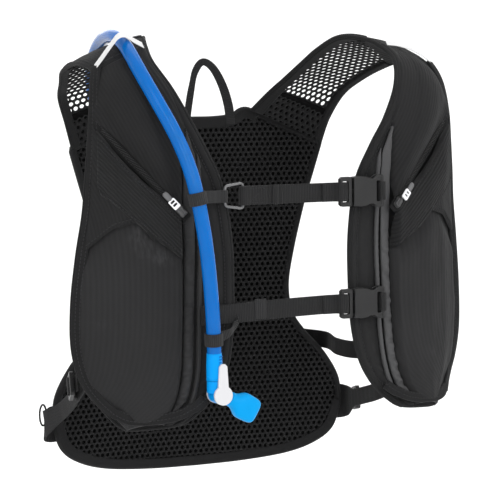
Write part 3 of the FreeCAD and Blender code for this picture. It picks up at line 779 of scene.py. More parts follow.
def make_panel(side, word):
    """The padded panel behind the pockets: a closed crowned sheet from the strap's seam to the foot."""
    rings, uvs = [], []
    shares = [0.0, 0.006, 0.014, 0.022, 0.032, 0.042, 0.05, 0.058, 0.068, 0.08, 0.095, 0.11, 0.125, 0.14,
              0.155, 0.17, 0.19, 0.21, 0.25, 0.3, 0.4, 0.5, 0.6, 0.7, 0.8, 0.88, 0.93, 0.965, 0.985, 1.0]
    steps = 150
    for i in range(steps + 1):
        k = mix(SEAM, LAST, i / steps)
        end = rim((LAST - k) * 20, 3.0)
        ring = []
        for t in shares:
            near = min(t, 1 - t) * width_at(k)
            h = lining_height(k, t) if t < 0.3 else 0.0
            ring.append(ribbon(k, t, mix(-RIBBON_T / 2, h, rim(near, 1.8) * end)))
        for t in shares[::-1][1:-1]:
            near = min(t, 1 - t) * width_at(k)
            puff = wrinkle((k * 9, t * 60, 5), 0.5, 7)
            ring.append(ribbon(k, t, mix(-RIBBON_T / 2, -RIBBON_T + puff, rim(near, 1.8) * end)))
        rings.append([mirrored(p, side) for p in ring])
        uvs.append([t * width_at(k) for t in shares] + [(2 - t) * width_at(k) for t in shares[::-1][1:-1]])
    n = len(rings[0])
    panel = loft("panel_pad_" + word, rings, "lining",
                 lambda i, j: (uvs[i][j % n], run_at(mix(SEAM, LAST, i / steps))))
    padded_piece(panel, "panel_knit", "front_panel_" + word)
    sew(f"stitch_inner_{word}", "panel_knit", partial(skin, side),
        lambda f: (k := mix(9.4, LAST - 0.4, f), 6.4 / width_at(k)), 160, 0.5)
    path = outline_path(0, 0, 0)
    edge = [skin(side, k, t, -RIBBON_T / 2) for k, t in path]
    inward = [mirrored(ribbon(k, t, 1) - ribbon(k, t, 0), side) for k, t in path]
    on_vest(tube(f"edge_binding_{word}", edge, 1.9, "binding", wide=inward, sides=12, flat=0.9), "panel_knit")


def outline_path(offset, arm_from, neck_to):
    """Stations and shares round the ribbon a distance inside its edge: down the arm edge, round the foot, and
    up the neck edge."""
    foot = LAST - offset / 14.5
    ks = [mix(arm_from, foot - 0.45, i / 170) for i in range(171)]
    path = [(k, 1 - offset / width_at(k)) for k in ks]
    inset = offset / width_at(LAST)
    turns = [pi * i / 30 for i in range(1, 30)]
    path += [(foot - 0.45 * (1 - sin(a)**0.8),
              0.5 + (0.5 - inset) * copysign(abs(cos(a))**0.8, cos(a))) for a in turns]
    return path + [(k, offset / width_at(k)) for k in ks[::-1] if k >= neck_to]


def make_border(side, word):
    """The sewn band round the panel's arm edge and foot, with two rows of stitches."""
    def rise(k):
        return smooth(k, 16.0, 17.6)

    path, within = outline_path(4.2, 7.2, 16.6), outline_path(8.4, 7.2, 16.6)
    lift = [mix(2.4, 8.6, rise(k)) for k, _ in path]
    line = [skin(side, k, t, h) for (k, t), h in zip(path, lift)]
    inner = [skin(side, k, t, h) for (k, t), h in zip(within, lift)]
    n = min(len(line), len(inner))
    wide = [(b - a).normalized() for a, b in zip(line[:n], inner[:n])]
    on_vest(band(f"border_{word}", line[:n], wide, 8.6, 2.6, "binding"), "panel_knit")
    for offset in (3.0, 6.6):
        path = [(k, t, mix(3.8, 10.0, rise(k))) for k, t in outline_path(offset, 7.4, 16.8)]
        line = [skin(side, k, t, h) for k, t, h in path]
        out = [(skin(side, k, t, h + 1) - p).normalized() for p, (k, t, h) in zip(line, path)]
        on_vest(stitches(f"stitch_border_{offset:.0f}_{word}", line, out), "panel_knit")


def make_face(side, word):
    """The pocket's face: upper panel with its lateral flap, the ribbed overlay, and the stretch pocket."""
    low, high = FACE_T

    def upper(a, b):
        t = mix(low, high, b)
        k = mix(SEAM + 0.42, min(zip_k(t), hem_k(t)) - 0.02, a)
        return k, mix(seam_share(k), high, b)

    def bag_lift(k, t):
        return mix(-4.4, -0.3, smooth(run_at(k) - run_at(min(hem_k(t), LAST)), 0, 18))

    def flap(a, b):
        t = mix(0.5, high, b)
        top = zip_k(t) + 0.15
        return mix(top, max(hem_k(t), top + 0.3), a), t

    def overlay(a, b):
        t = mix(low + 0.01, 0.915, b)
        return mix(zip_k(t) + 0.09, max(seam_k(t), zip_k(t) + 0.25), a), t

    def pocket(a, b):
        t = mix(low, high, b)
        return mix(hem_k(t) - 0.22, LAST - 0.06, a), t

    face = face_slab("upper_face_" + word, side, upper, 60, 44,
                     lambda k, t: mix(-1.4, 0.6, smooth(k, 7.4, 8.6)), 2.0, "face", edges=(0, 1, 1, 0))
    padded_piece(face, "panel_knit", "zip_pocket_" + word)
    on_vest(face_slab("side_flap_" + word, side, flap, 26, 26, 0.9, 1.8, "face", edges=(0, 1, 0, 0),
                      ripple=0.8), "panel_knit")
    on_vest(face_slab("overlay_" + word, side, overlay, 22, 60, 2.4, 2.6, "overlay", edges=(1, 1, 1, 1),
                      reach=1.6, ripple=0.2, zip_ribs=True), "panel_knit")
    bag = face_slab("stretch_bag_" + word, side, pocket, 80, 50, bag_lift, 2.2, "pocket", edges=(0, 0, 1, 0),
                    ripple=0.9)
    padded_piece(bag, "pocket_knit", "stretch_pocket_" + word)
    for name, place, lift in (
            ("seam", lambda f: (seam_k(mix(0.29, 0.9, f)) - 0.1, mix(0.29, 0.9, f)), 2.5),
            ("zip_low", lambda f: (zip_k(mix(0.29, 0.9, f)) + 0.24, mix(0.29, 0.9, f)), 2.5),
            ("zip_high", lambda f: (zip_k(mix(0.29, 0.95, f)) - 0.16, mix(0.29, 0.95, f)), 0.7),
            ("hem", lambda f: (hem_k(mix(0.66, 0.97, f)) - 0.12, mix(0.66, 0.97, f)), 1.0)):
        sew(f"stitch_{name}_{word}", "panel_knit", partial(face_point, side), place, 60, lift)


def make_strips(side, word):
    """The thin piping, the satin strip and the pleat between the lining and the pocket."""
    # the right side's strip and piping take the darker satin copy, a painted shade
    satin = "satin" if side == LEFT else "satin_painted_shade"
    count = 150
    ks = [mix(11.0, 17.3, i / (count - 1)) for i in range(count)]
    line = [skin(side, k, seam_share(k) - 13.6 * smooth(k, 9.8, 11.4) / width_at(k), 2.0) for k in ks]
    radii = [2.0 * smooth(i, -3, 10) * (1 + 0.05 * sin(i * 1.7)) for i in range(count)]
    on_vest(tube(f"thin_piping_{word}", line, radii, satin), "satin_piping", "piping_" + word)
    rings, uvs = [], []
    steps = 220
    for i in range(steps + 1):
        k = mix(10.2, 17.35, i / steps)
        w = mix(10.6, 8.6, smooth(k, 11.8, 13.4)) * mix(0.1, 1, smooth(k, 10.1, 11.3))
        w *= mix(0.5, 1, smooth(17.35 - k, 0, 0.5))
        run = run_at(k)
        slack = smooth(k, 12.3, 13.6)
        wring = slack * 1.3 * sin(run * 2 * pi / 10 + 4 * noise.noise(Vector((run / 30, 2, 0))))
        ring = []
        for j in range(16):
            turn = tau * j / 16
            d = (seam_share(k) - 0.004) * width_at(k) - w / 2 + w / 2 * cos(turn)
            thick = mix(1.4, 2.6, slack)
            h = 2.8 + thick * sin(turn) + wring * max(0.0, sin(turn)) * cos(turn * 0.5 + run / 6)
            ring.append(skin(side, k, d / width_at(k), h))
        rings.append(ring)
        uvs.append(run)
    on_vest(loft(f"satin_strip_{word}", rings, satin, lambda i, j: (j * 1.3, uvs[i])), "satin_piping")


for side, word in SIDES:
    make_panel(side, word)
    make_face(side, word)
    make_border(side, word)
    make_strips(side, word)


# ---------------------------------------------------------------- open mesh
def hex_sheet(name, centres, pitch, hole, place, material, thick):
    """A sheet of round holes on a six-sided grid. place(u, v, w) maps mm to torso mm, w into the sheet."""
    verts, faces, uvs, index = [], [], [], {}
    radius = pitch / sqrt(3)
    near, far = 0.12, thick - 0.12

    def vert(u, v, w):
        key = (round(u * 20), round(v * 20), round(w * 20))
        if key not in index:
            index[key] = len(verts)
            verts.append(to_row(place(u, v, w)))
        return index[key]

    def add(points):
        faces.append([vert(*p) for p in points])
        uvs.extend((p[0], p[1]) for p in points)

    for cu, cv in centres:
        outer, inner, lip = [], [], []
        for i in range(12):
            turn = radians(30 * i + 30)
            reach = radius if i % 2 == 0 else radius * cos(radians(30))
            outer.append((cu + reach * cos(turn), cv + reach * sin(turn)))
            inner.append((cu + hole * cos(turn), cv + hole * sin(turn)))
            lip.append((cu + hole * 0.93 * cos(turn), cv + hole * 0.93 * sin(turn)))
        for i in range(12):
            j = (i + 1) % 12
            add([(*outer[i], 0), (*outer[j], 0), (*inner[j], near), (*inner[i], near)])
            add([(*inner[i], near), (*inner[j], near), (*lip[j], thick / 2), (*lip[i], thick / 2)])
            add([(*lip[i], thick / 2), (*lip[j], thick / 2), (*inner[j], far), (*inner[i], far)])
            add([(*inner[i], far), (*inner[j], far), (*outer[j], thick), (*outer[i], thick)])
    return make(name, verts, faces, material, uvs)


def hex_centres(u0, u1, v0, v1, pitch, keep):
    step = pitch * sqrt(3) / 2
    found = []
    for row in range(int((v1 - v0) / step) + 1):
        for col in range(int((u1 - u0) / pitch) + 2):
            u = u0 + (col + 0.5 * (row % 2)) * pitch
            v = v0 + row * step
            if keep(u, v):
                found.append((u, v))
    return found


# ---------------------------------------------------------------- shoulder straps
STRAP_W = 70.0
PATCH_START = 1.12
STRAP_PITCH, STRAP_HOLE, SPACER_HOLE = 5.8, 2.15, 1.7
PATCH_T = (0.14, 0.915)


def strap_front(t):
    """The station where the open mesh ends towards the front."""
    return 5.75 - 1.25 * t


def strap_k(v):
    """The station at a distance along the strap."""
    i = next((i for i in range(LAST) if RUN[i + 1] >= v), LAST - 1)
    return i + (v - RUN[i]) / (RUN[i + 1] - RUN[i])


def strap_slab(name, side, k0, k1, t0, t1, material, lift=0.0, rows=60, cols=10):
    """A padded part of the strap between stations and shares. k1 may be a function of the share."""
    def pair(i, j):
        t = mix(t0, t1, j / cols)
        start = k0(t) if callable(k0) else k0
        end = k1(t) if callable(k1) else k1
        k = mix(start, end, i / rows)
        puff = rim(min(t - t0, t1 - t) * width_at(k), 1.8)
        bump = wrinkle((k * 12, t * 60, 1), 0.25, 6)
        return (skin(side, k, t, mix(-RIBBON_T / 2, lift + bump, puff)),
                skin(side, k, t, mix(-RIBBON_T / 2, -RIBBON_T - lift, puff)))

    return slab(name, rows, cols, pair, material, lambda i, j: (mix(t0, t1, j / cols) * STRAP_W, i * 2.2))


def make_strap(side, word):
    strap = strap_slab("strap_front_" + word, side, lambda t: strap_front(t) - 0.12, SEAM + 0.15, 0.0, 1.0,
                       "face", cols=30)
    padded_piece(strap, "air_mesh", "shoulder_strap_" + word)
    on_vest(strap_slab("strap_neck_band_" + word, side, 0, strap_front(0), 0.0, PATCH_T[0] + 0.02, "binding",
                       lift=0.9), "air_mesh")
    on_vest(strap_slab("strap_arm_band_" + word, side, 0, strap_front(1), PATCH_T[1] - 0.02, 1.0, "binding",
                       lift=0.9), "air_mesh")
    # the strap's base in the near-black backing: painted shade seen through the mesh holes
    on_vest(strap_slab("strap_base_" + word, side, 0, PATCH_START + 0.1, 0.02, 0.98, "backing_shade", lift=-0.9,
                       rows=20, cols=30), "air_mesh")
    margin = STRAP_PITCH * 0.35 / STRAP_W

    def open_here(u, v):
        k, t = strap_k(v), u / STRAP_W
        return PATCH_T[0] - margin < t < PATCH_T[1] + margin and -0.1 < k < strap_front(t)

    def place(u, v, w):
        return skin(side, strap_k(v), u / STRAP_W, -1.0 - w)

    def place_behind(u, v, w):
        return skin(side, strap_k(v), u / STRAP_W, -RIBBON_T - 0.5 + w)

    centres = hex_centres(0, STRAP_W, 2, RUN[6], STRAP_PITCH, open_here)
    seen_through = [c for c in centres if strap_k(c[1]) > PATCH_START]
    closed = [c for c in centres if strap_k(c[1]) <= PATCH_START]
    on_vest(hex_sheet("strap_mesh_" + word, seen_through, STRAP_PITCH, STRAP_HOLE, place, "mesh", 1.6),
            "air_mesh")
    on_vest(hex_sheet("strap_spacer_" + word, closed, STRAP_PITCH, SPACER_HOLE, place_behind, "mesh", 1.6),
            "air_mesh")
    sew("stitch_strap_" + word, "air_mesh", partial(skin, side),
        lambda f: (mix(0.1, 5.4, f), PATCH_T[0] - 0.015), 80, 0.1)


for side, word in SIDES:
    make_strap(side, word)

# ---------------------------------------------------------------- back panel
BACK_SIDE = [(142, -160), (139, -136), (125, -112), (107, -92), (94, -72), (90, -45), (95, -12), (105, 30),
             (114, 60), (122.5, 88)]
HEM = [(0, -209), (45, -208), (88, -204), (116, -196), (134, -183), (142, -160)]
TOP = [(0, 111), (18, 111), (37, 113), (51, 119), (76, 108), (100, 98), (122.5, 88)]
BACK_T, BACK_Y, BACK_BEND, BACK_LEAN = 8.0, 119, 900, radians(1.5)
BACK_PITCH, BACK_HOLE = 5.4, 1.9


def back_point(x, z, depth=0.0):
    """A point behind the back panel's front face."""
    y = BACK_Y - (BACK_BEND - sqrt(BACK_BEND**2 - x * x)) + (TOP[0][1] - z) * tan(BACK_LEAN)
    return Vector((x, y + depth, z))


def half_line(points, f):
    """A smooth line through (x, z) points, at f from 0 to 1, mirrored for a negative f."""
    p = through([Vector((x, z, 0)) for x, z in points], abs(f) * (len(points) - 1))
    return Vector((copysign(p.x, f), p.y))


def back_uv(s, r):
    """The panel's (x, z) at s from -1 to 1 across and r from 0 to 1 up."""
    hem, top = half_line(HEM, s), half_line(TOP, s)
    right = half_line(BACK_SIDE, r)
    left = Vector((-right.x, right.y))
    low, high = half_line(HEM, 1), half_line(TOP, 1)
    f = (s + 1) / 2
    corners = (mix(Vector((-low.x, low.y)), low, f) * (1 - r) + mix(Vector((-high.x, high.y)), high, f) * r)
    return mix(hem, top, r) + mix(left, right, f) - corners


def back_outline(count=60):
    side = [half_line(BACK_SIDE, i / count) for i in range(count)]
    top = [half_line(TOP, 1 - i / count) for i in range(2 * count)]
    other = [Vector((-p.x, p.y)) for p in side[::-1]]
    hem = [half_line(HEM, -1 + i / count) for i in range(2 * count)]
    return side + top + other + hem


OUTLINE = back_outline()


def edge_distance(u, v):
    """How far inside the back panel's outline a point is; negative outside."""
    p = Vector((u, v))
    best, inside = 1e9, False
    for a, b in zip(OUTLINE, OUTLINE[1:] + OUTLINE[:1]):
        ab = b - a
        f = clamp((p - a).dot(ab) / max(ab.length_squared, 1e-9))
        best = min(best, (a + ab * f - p).length)
        if (a.y > v) != (b.y > v) and u < a.x + (v - a.y) * (b.x - a.x) / (b.y - a.y):
            inside = not inside
    return best if inside else -best


def make_back_panel():
    rows, cols = 70, 60

    def pair(i, j):
        x, z = back_uv(2 * j / cols - 1, i / rows)
        edge = rim(min(i, rows - i, j, cols - j) * 3.0, 6.0)
        return [back_point(x, z, mix(BACK_T / 2, depth, edge)) for depth in (1.7, BACK_T)]

    # the pad behind the back mesh in the near-black backing: painted shade seen through the holes
    pad = slab("back_pad", rows, cols, pair, "backing_shade", lambda i, j: (j * 4.0, i * 4.5))
    padded_piece(pad, "air_mesh", "back_panel")
    centres = hex_centres(-150, 150, -212, 122, BACK_PITCH, lambda u, v: edge_distance(u, v) > 2.6)
    on_vest(hex_sheet("back_mesh", centres, BACK_PITCH, BACK_HOLE, lambda u, v, w: back_point(
        u, v, w - 0.5 + 0.5 * sin(u / 31) * sin(v / 27)), "mesh", 1.7), "air_mesh")
    line = [back_point(p.x, p.y, BACK_T / 2 - 0.6) for p in OUTLINE]
    inward = []
    for i, p in enumerate(OUTLINE):
        ahead = OUTLINE[(i + 1) % len(OUTLINE)] - OUTLINE[i - 1]
        inward.append(Vector((-ahead.y, 0, ahead.x)).normalized())
    binding = tube("back_binding", line, 3.4, "binding", loop=True, sides=12, flat=1.5, wide=inward)
    on_vest(binding, "air_mesh")
    collar = [half_line(TOP, f / 30) for f in range(-17, 18)]
    band_line = [back_point(p.x, p.y - 3.2, -0.8) for p in collar]
    on_vest(band("collar_band", band_line, UPWARD, 8.5, 1.6, "binding"), "air_mesh")
    hem = [half_line(HEM, f / 40) for f in range(-40, 41)]
    hem_line = [back_point(p.x * 0.985, p.y + 2.6, -0.6) for p in hem]
    on_vest(band("hem_band", hem_line, UPWARD, 8.0, 1.6, "binding"), "air_mesh")


make_back_panel()

# ---------------------------------------------------------------- rear compartment
# (height, half width, rear) of the shell up the back, in torso mm.
SHELL = [(-198, 58, 144), (-184, 84, 156), (-150, 98, 168), (-90, 86, 173), (-30, 80, 173), (40, 83, 167),
         (80, 80, 157), (104, 54, 142)]
SHELL_ROOT = 112.0


def shell_ring(z_index, grow, steps=48):
    """An arc round the compartment, from the back panel's left to its right, at a place up SHELL."""
    z, half, far = through([Vector(s) for s in SHELL], z_index)
    half, far = half + grow, far + grow
    depth = far - SHELL_ROOT
    radius = (half * half + depth * depth) / (2 * depth)
    reach = asin(clamp(half / radius, -1, 1))
    if depth > radius:
        reach = pi - reach
    ring = []
    for i in range(steps + 1):
        turn = mix(-reach, reach, i / steps)
        ring.append(Vector((radius * sin(turn), far - radius + radius * cos(turn), z)))
    return ring


def shell_skin(name, first, last, grow, material, rows=60, sag=0.0):
    """A closed sheet on the compartment between two places up its height."""
    rings = [shell_ring(mix(first, last, i / rows), grow) for i in range(rows + 1)]
    cols = len(rings[0]) - 1

    def pair(i, j):
        p = rings[i][j]
        away = Vector((p.x, (p.y - SHELL_ROOT) * 1.6, 0)).normalized()
        ripple = wrinkle(p, 1.4, 34) + wrinkle((p.x, p.y, p.z * 2.2), 0.6, 11)
        drop = sag * sin(pi * i / rows) * sin(pi * j / cols) ** 2
        rise = rim(min(i, rows - i) * 1.8, 3)
        q = p + away * ((ripple - drop) * rise - (1 - rise) * 1.2)
        limit = back_point(clamp(q.x, -140, 140), q.z, BACK_T - 1.0).y
        return (Vector((q.x, max(q.y, limit), q.z)),
                Vector((q.x, max(q.y - 1.2, limit - 0.3), q.z)) - away * 1.0)

    return slab(name, rows, cols, pair, material, lambda i, j: (j * 5.2, mix(first, last, i / rows) * 43))


def make_compartment():
    shell = shell_skin("compartment_shell", 0, len(SHELL) - 1, 0, "ripstop", rows=90)
    padded_piece(shell, "ripstop", "back_shell")
    stash = shell_skin("stash_front", 0.05, 3.85, 1.7, "pocket", rows=50, sag=1.0)
    padded_piece(stash, "pocket_knit", "stash_pocket")
    hem = [p + Vector((0, 1.6, 0)) for p in shell_ring(3.8, 1.8) if p.y > 121]
    on_vest(band("stash_hem", hem, UPWARD, 10, 2.0, "binding"), "pocket_knit")
    for place, name in SIDES:
        seam = [shell_ring(mix(0.3, 6.8, i / 60), 0.5)[24 + 12 * place] for i in range(61)]
        on_vest(tube("shell_seam_" + name, seam, 1.3, "binding"), "ripstop")
        line = [p + Vector((-place * 4.0, 1.0, 0)) for p in seam]
        out = [Vector((place * 0.4, 0.9, 0)).normalized()] * len(line)
        on_vest(stitches("stitch_shell_" + name, line, out), "ripstop")


make_compartment()


# ---------------------------------------------------------------- bands, straps and loop
def make_reflective():
    flat = [(0.05, 2.6), (0.2, 3.7), (0.4, 4.2), (0.6, 4.2), (0.8, 3.7), (0.92, 2.8)]
    over = [(0.05, 2.6), (0.18, 9.0), (0.27, 14.6), (0.33, 17.6), (0.40, 18.7), (0.47, 17.8), (0.54, 15.4),
            (0.67, 10.6), (0.80, 6.0), (0.92, 2.4)]
    for side, word, rows in ((LEFT, "left", flat), (RIGHT, "right", over)):
        pairs = [through([Vector((t, h, 0)) for t, h in rows], (len(rows) - 1) * i / 60) for i in range(61)]
        line = [skin(side, 7.17, p.x, p.y) for p in pairs]
        wide = mirrored(ribbon(7.33, 0.5) - ribbon(7.0, 0.5), side).normalized()
        piece = band("reflective_strip_" + word, line, wide, 6.6 if word == "left" else 7.4, 0.7, "band")
        on_vest(piece, "reflective", "reflective_band_" + word)


def make_haul_loop():
    points = [(-10, 106), (-8, 122), (-4.5, 141), (-0.5, 156), (7, 164.3), (17, 158.5), (26, 143),
               (32, 124), (34, 106)]
    last = 69
    line = sampled([(x, 117.2, z) for x, z in points], last + 1)
    wide, widths = [], []
    for i in range(last + 1):
        f = i / last
        ahead = (line[min(i + 1, last)] - line[max(i - 1, 0)]).normalized()
        flat = ahead.cross(BACKWARD).normalized()
        twist = radians(62) * exp(-((f - 0.30) / 0.13) ** 2)
        wide.append(flat * cos(twist) + BACKWARD * sin(twist))
        widths.append(mix(6.5, 9.0, smooth(f, 0.45, 0.9)))
    on_vest(band("hanging_loop", line, wide, widths, 1.6, "webbing"), "webbing", "haul_loop")


SIDE_STRAPS = {
    ("upper", "left"): [(98, 128.9, -96), (115, 128.4, -98), (132, 119, -100), (126, 84, -101),
                        (127, 40, -99), (146, 0, -92), (176, -30, -81), (187, -42, -77)],
    ("upper", "right"): [(98, 128.9, -96), (110, 127.6, -97), (120, 119, -98), (119, 88, -95),
                         (130, 50, -84), (155, 8, -64), (178, -28, -40), (187, -42, -31)],
    ("lower", "left"): [(122, 128.1, -161), (138, 126.5, -161), (152, 118, -159), (146, 90, -152),
                        (141, 61, -145), (138, 20, -135), (153, -14, -121), (176, -37, -106),
                        (184, -44, -102)],
    ("lower", "right"): [(122, 128.1, -161), (138, 126.5, -161), (152, 118, -158), (144, 90, -141),
                         (141, 61, -122), (150, 20, -98), (172, -20, -72), (187, -42, -59)],
}
WEB_W, WEB_T = 16.0, 1.4


def make_side_straps():
    count = 90
    for (level, word), points in SIDE_STRAPS.items():
        side = LEFT if word == "left" else RIGHT
        line = [mirrored(p, side) for p in sampled(points, count)]
        tuck = [smooth(i, 48, 86) for i in range(count)]
        sag = [p + Vector((-17 * side * f, 3 * f, -2.0 * sin(pi * i / (count - 1)) ** 2))
               for i, (p, f) in enumerate(zip(line, tuck))]
        spread = 17 if level == "lower" else 0
        wing = [WEB_W + spread * smooth(i, 2, 12) * (1 - smooth(i, 16, 36)) for i in range(count)]
        # the upper side straps take the darker webbing copy, a painted shade
        strap = band(f"{level}_side_web_{word}", sag, UPWARD, wing, WEB_T,
                     "strap_in_shade" if level == "upper" else "webbing")
        on_vest(strap, "webbing", f"{level}_side_strap_{word}")
        if level == "lower":
            make_ladder_lock(points, side, word)


def make_tail_loop():
    """A small cord loop sewn to the right wing of the lower side strap."""
    ring = [Vector((-154 - 3.2 * cos(tau * i / 28), 117, -151 + 9.5 * sin(tau * i / 28)))
            for i in range(28)]
    on_vest(tube("tail_loop", ring, 0.9, "webbing", loop=True, sides=8, wide=BACKWARD), "webbing")


def make_ladder_lock(points, side, word):
    first = {"left": 2, "right": 4}[word]
    near, far = Vector(points[first]), Vector(points[first + 1])
    along = (far - near).normalized()
    out = UPWARD.cross(along).normalized()
    if out.x < 0:
        out = -out
    up = along.cross(out).normalized()
    if up.z < 0:
        up = -up

    def place(u, v, w):
        return mirrored(near + along * u + up * v + out * (6.4 + w), side)

    slots = [rounded_box(5.4, 8.6, -8.6, 8.6, 1), rounded_box(13.4, 16.6, -8.6, 8.6, 1)]
    lock = plate(f"ladder_frame_{word}", rounded_box(2, 20, -11, 11, 2.5), slots, place, -1.8, 1.8, "plastic",
                 0.0007)
    on_vest(lock, "buckle_plastic", "ladder_lock_" + word)
    over = [place(u, 0, w) for u, w in ((-4, -5.0), (2, -4.0), (6, -0.5), (9, 2.6), (11, 3.0), (13, 2.4),
                                        (15, -0.5), (17, -3.9), (21, -4.8))]
    web = band(f"ladder_web_{word}", sampled(over, 30), mirrored(up, side), WEB_W - 0.6, 1.2, "webbing")
    on_vest(web, "webbing")


make_reflective()
make_haul_loop()
make_side_straps()
make_tail_loop()

# ---------------------------------------------------------------- chest straps
WEB_Y, BUCKLE_Y = -88.7, -92.0
CHEST_Z = {"upper": 54.0, "lower": -41.0}
RING_X = (-62.0, -46.0)
MOUTH, SOCKET_END = 54.0, 82.5


def at_buckle(z):
    return lambda u, v, w: Vector((u, BUCKLE_Y - w, z + v))


def make_buckle(level, z):
    place = at_buckle(z)
    half = [(MOUTH, 12.3), (61, 12.9), (66, 12.3), (69, 10.9), (72.5, 10.9), (75.5, 13.0), (77.5, 13.75),
            (81.2, 13.75), (SOCKET_END, 12.6)]
    outline = half + [(x, -v) for x, v in half[::-1]]
    slot = rounded_box(75.6, 79.0, -8.7, 8.7, 0.8)
    front = plate("s1", outline, [slot], place, 2.4, 4.0, "plastic", 0.0006)
    back = plate("s2", outline, [slot], place, -4.0, -2.4, "plastic", 0.0006)
    blocks = [(MOUTH, 62, BUCKLE_Y - 3, BUCKLE_Y + 3, z + 11.5 * s - 0.6, z + 11.5 * s + 0.6)
              for s in (-1, 1)]
    blocks += [(x0, x1, BUCKLE_Y - ahead, BUCKLE_Y + behind, z - v, z + v) for x0, x1, ahead, behind, v in (
        (73.4, 75.4, 3, 3, 10.4), (79.2, 82.2, 3, 3, 12.4), (79.6, 81.8, 4.5, -3.5, 12.0),
        (MOUTH + 0.2, MOUTH + 1.6, 4.4, -3.6, 11.0))]
    socket = join(f"{level}_socket", [front, back, boxes("s3", blocks, "plastic")])
    on_vest(socket, "buckle_plastic", f"{level}_buckle_socket")
    frame_ring = rounded_box(MOUTH - 12, MOUTH - 0.5, -12.6, 12.6, 2.6)
    tongue = plate("t1", frame_ring, [rounded_box(MOUTH - 9.6, MOUTH - 4.2, -8.8, 8.8, 1)], place, -2.3, 2.3,
                   "plastic", 0.0008)
    prongs = [boxes("t2", [
        (MOUTH - 2, MOUTH + 16.5, BUCKLE_Y - 1.5, BUCKLE_Y + 1.5, z - 1.9, z + 1.9),
        (MOUTH - 12.2, MOUTH - 10.9, BUCKLE_Y - 2.9, BUCKLE_Y + 2.2, z - 11.2, z + 11.2)], "plastic")]
    for s in (-1, 1):
        arm = [(MOUTH + u, v * s) for u, v in (
            (-2, 9.2), (8, 9.4), (9, 8.4), (14.5, 8.6), (16.5, 10.0), (14.8, 11.6), (9.5, 12.0),
            (7.6, 10.8), (-2, 10.8))]
        prongs.append(plate("t3", arm, [], place, -1.9, 1.9, "plastic"))
    tongue = join(f"{level}_tongue_frame", [tongue, *prongs])
    tag(tongue, f"{level}_tongue", "buckle_plastic", f"{level}_buckle_tongue")
    loop = [(62, 5.0), (70, 4.75), (78.0, 4.6), (79.1, 3.2), (79.2, 0), (79.2, -3.6), (79.8, -4.9),
            (81.2, -5.2), (82.9, -4.9), (83.5, -3.4), (83.5, 0), (83.4, 3.6), (82.4, 4.9), (80.2, 5.3)]
    line = sampled([(x, BUCKLE_Y + y, z) for x, y in loop], 60)
    tab = band(f"{level}_socket_tab", line, UPWARD, 15.6, 0.9, "webbing")
    on_vest(tab, "webbing", f"{level}_buckle_tab")


def make_chest_strap(level, z):
    """The webbing, doubled and stitched at its fixed end, and looped round the tongue's bar."""
    if level == "upper":
        x0, x1 = RING_X[1], MOUTH - 11
        pin = [(x0 + u, WEB_Y - v) for u, v in (
            (6, 2.9), (1, 3.6), (-1.6, 3.0), (-2.6, 1.2), (-1.6, -0.6), (1, -0.9), (6, 0))]
    else:
        x0, x1 = -84.0, MOUTH - 11
        pin = [(x0, WEB_Y + 0.2), (x0 + 8, WEB_Y)]
    end = [(x1 + u, WEB_Y - v) for u, v in (
        (-8, 0), (2, 0.2), (5.4, 1.4), (6.2, 3.6), (4.6, 6.0), (1.5, 6.5), (-1.6, 5.9), (-3.4, 3.6),
        (-6, 2.0), (-16, 1.6))]
    sag = [(mix(x0 + 12, x1 - 14, f), WEB_Y - 0.4 * sin(pi * f)) for f in (0, 0.33, 0.66, 1)]
    drop = 3.0 if level == "lower" else 0.0
    line = sampled([(x, y, z - drop * (1 - smooth(x, x0, x1 - 10))) for x, y in pin + sag + end], 150)
    def strip(name, points, count, width, thick, material):
        line = sampled([(x0 + u, WEB_Y - v, z) for u, v in points], count)
        return band(name, line, UPWARD, width, thick, material)

    parts = [band("w1", line, UPWARD, WEB_W, WEB_T, "webbing")]
    if level == "upper":
        fold_over = [(1, 3.3), (6, 2.2), (20, 1.7), (22, 1.3)]
        keeper = [(27, 1.6), (30, 2.4), (33, 1.6)]
        parts += [strip("w2", fold_over, 30, WEB_W - 0.4, 1.3, "webbing"),
                  strip("w3", keeper, 12, WEB_W + 0.6, 1.2, "webbing")]
        corners = [(5, -6), (19, -6), (19, 6), (5, 6), (5, -6), (19, 6)]
        y = WEB_Y - 2.6
    else:
        keeper = [(48, 0.9), (53, 1.4), (58, 0.9)]
        parts += [strip("w3", keeper, 12, WEB_W + 0.6, 1.1, "elastic")]
        corners = [(1, -6), (9, -6), (9, 6), (1, 6), (1, -6)]
        y = WEB_Y - 0.9
    sewn = []
    for (xa, za), (xb, zb) in zip(corners, corners[1:]):
        sewn += [Vector((x0 + mix(xa, xb, i / 8), y, z + mix(za, zb, i / 8))) for i in range(9)]
    parts.append(stitches("w4", sewn, [Vector((0, -1, 0))] * len(sewn), pitch=2.2, long=1.5, radius=0.28))
    strap = join(f"{level}_chest_web", parts)
    on_vest(strap, "webbing", f"{level}_chest_strap")
    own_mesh(strap)


def make_ring():
    z, y, bend = CHEST_Z["upper"], BUCKLE_Y + 2, 2.6
    corners = [(RING_X[0], -8.5), (RING_X[0], 8.5), (RING_X[1], 10.5), (RING_X[1], -10.5)]
    line = []
    for i, (x, v) in enumerate(corners):
        before, after = corners[i - 1], corners[(i + 1) % 4]
        here = Vector((x, y, z + v))
        a, b = Vector((before[0], y, z + before[1])), Vector((after[0], y, z + after[1]))
        start, end = here + (a - here).normalized() * bend, here + (b - here).normalized() * bend
        line += [mix(mix(start, here, f), mix(here, end, f), f) for f in (0.0, 0.33, 0.66, 1.0)]
        line += [mix(end, b + (here - b).normalized() * bend, f) for f in (0.25, 0.5, 0.75)]
    ring = tube("strap_ring", line, 1.1, "wire", loop=True, sides=12, wide=BACKWARD)
    on_vest(ring, "ring_wire", "upper_strap_ring")


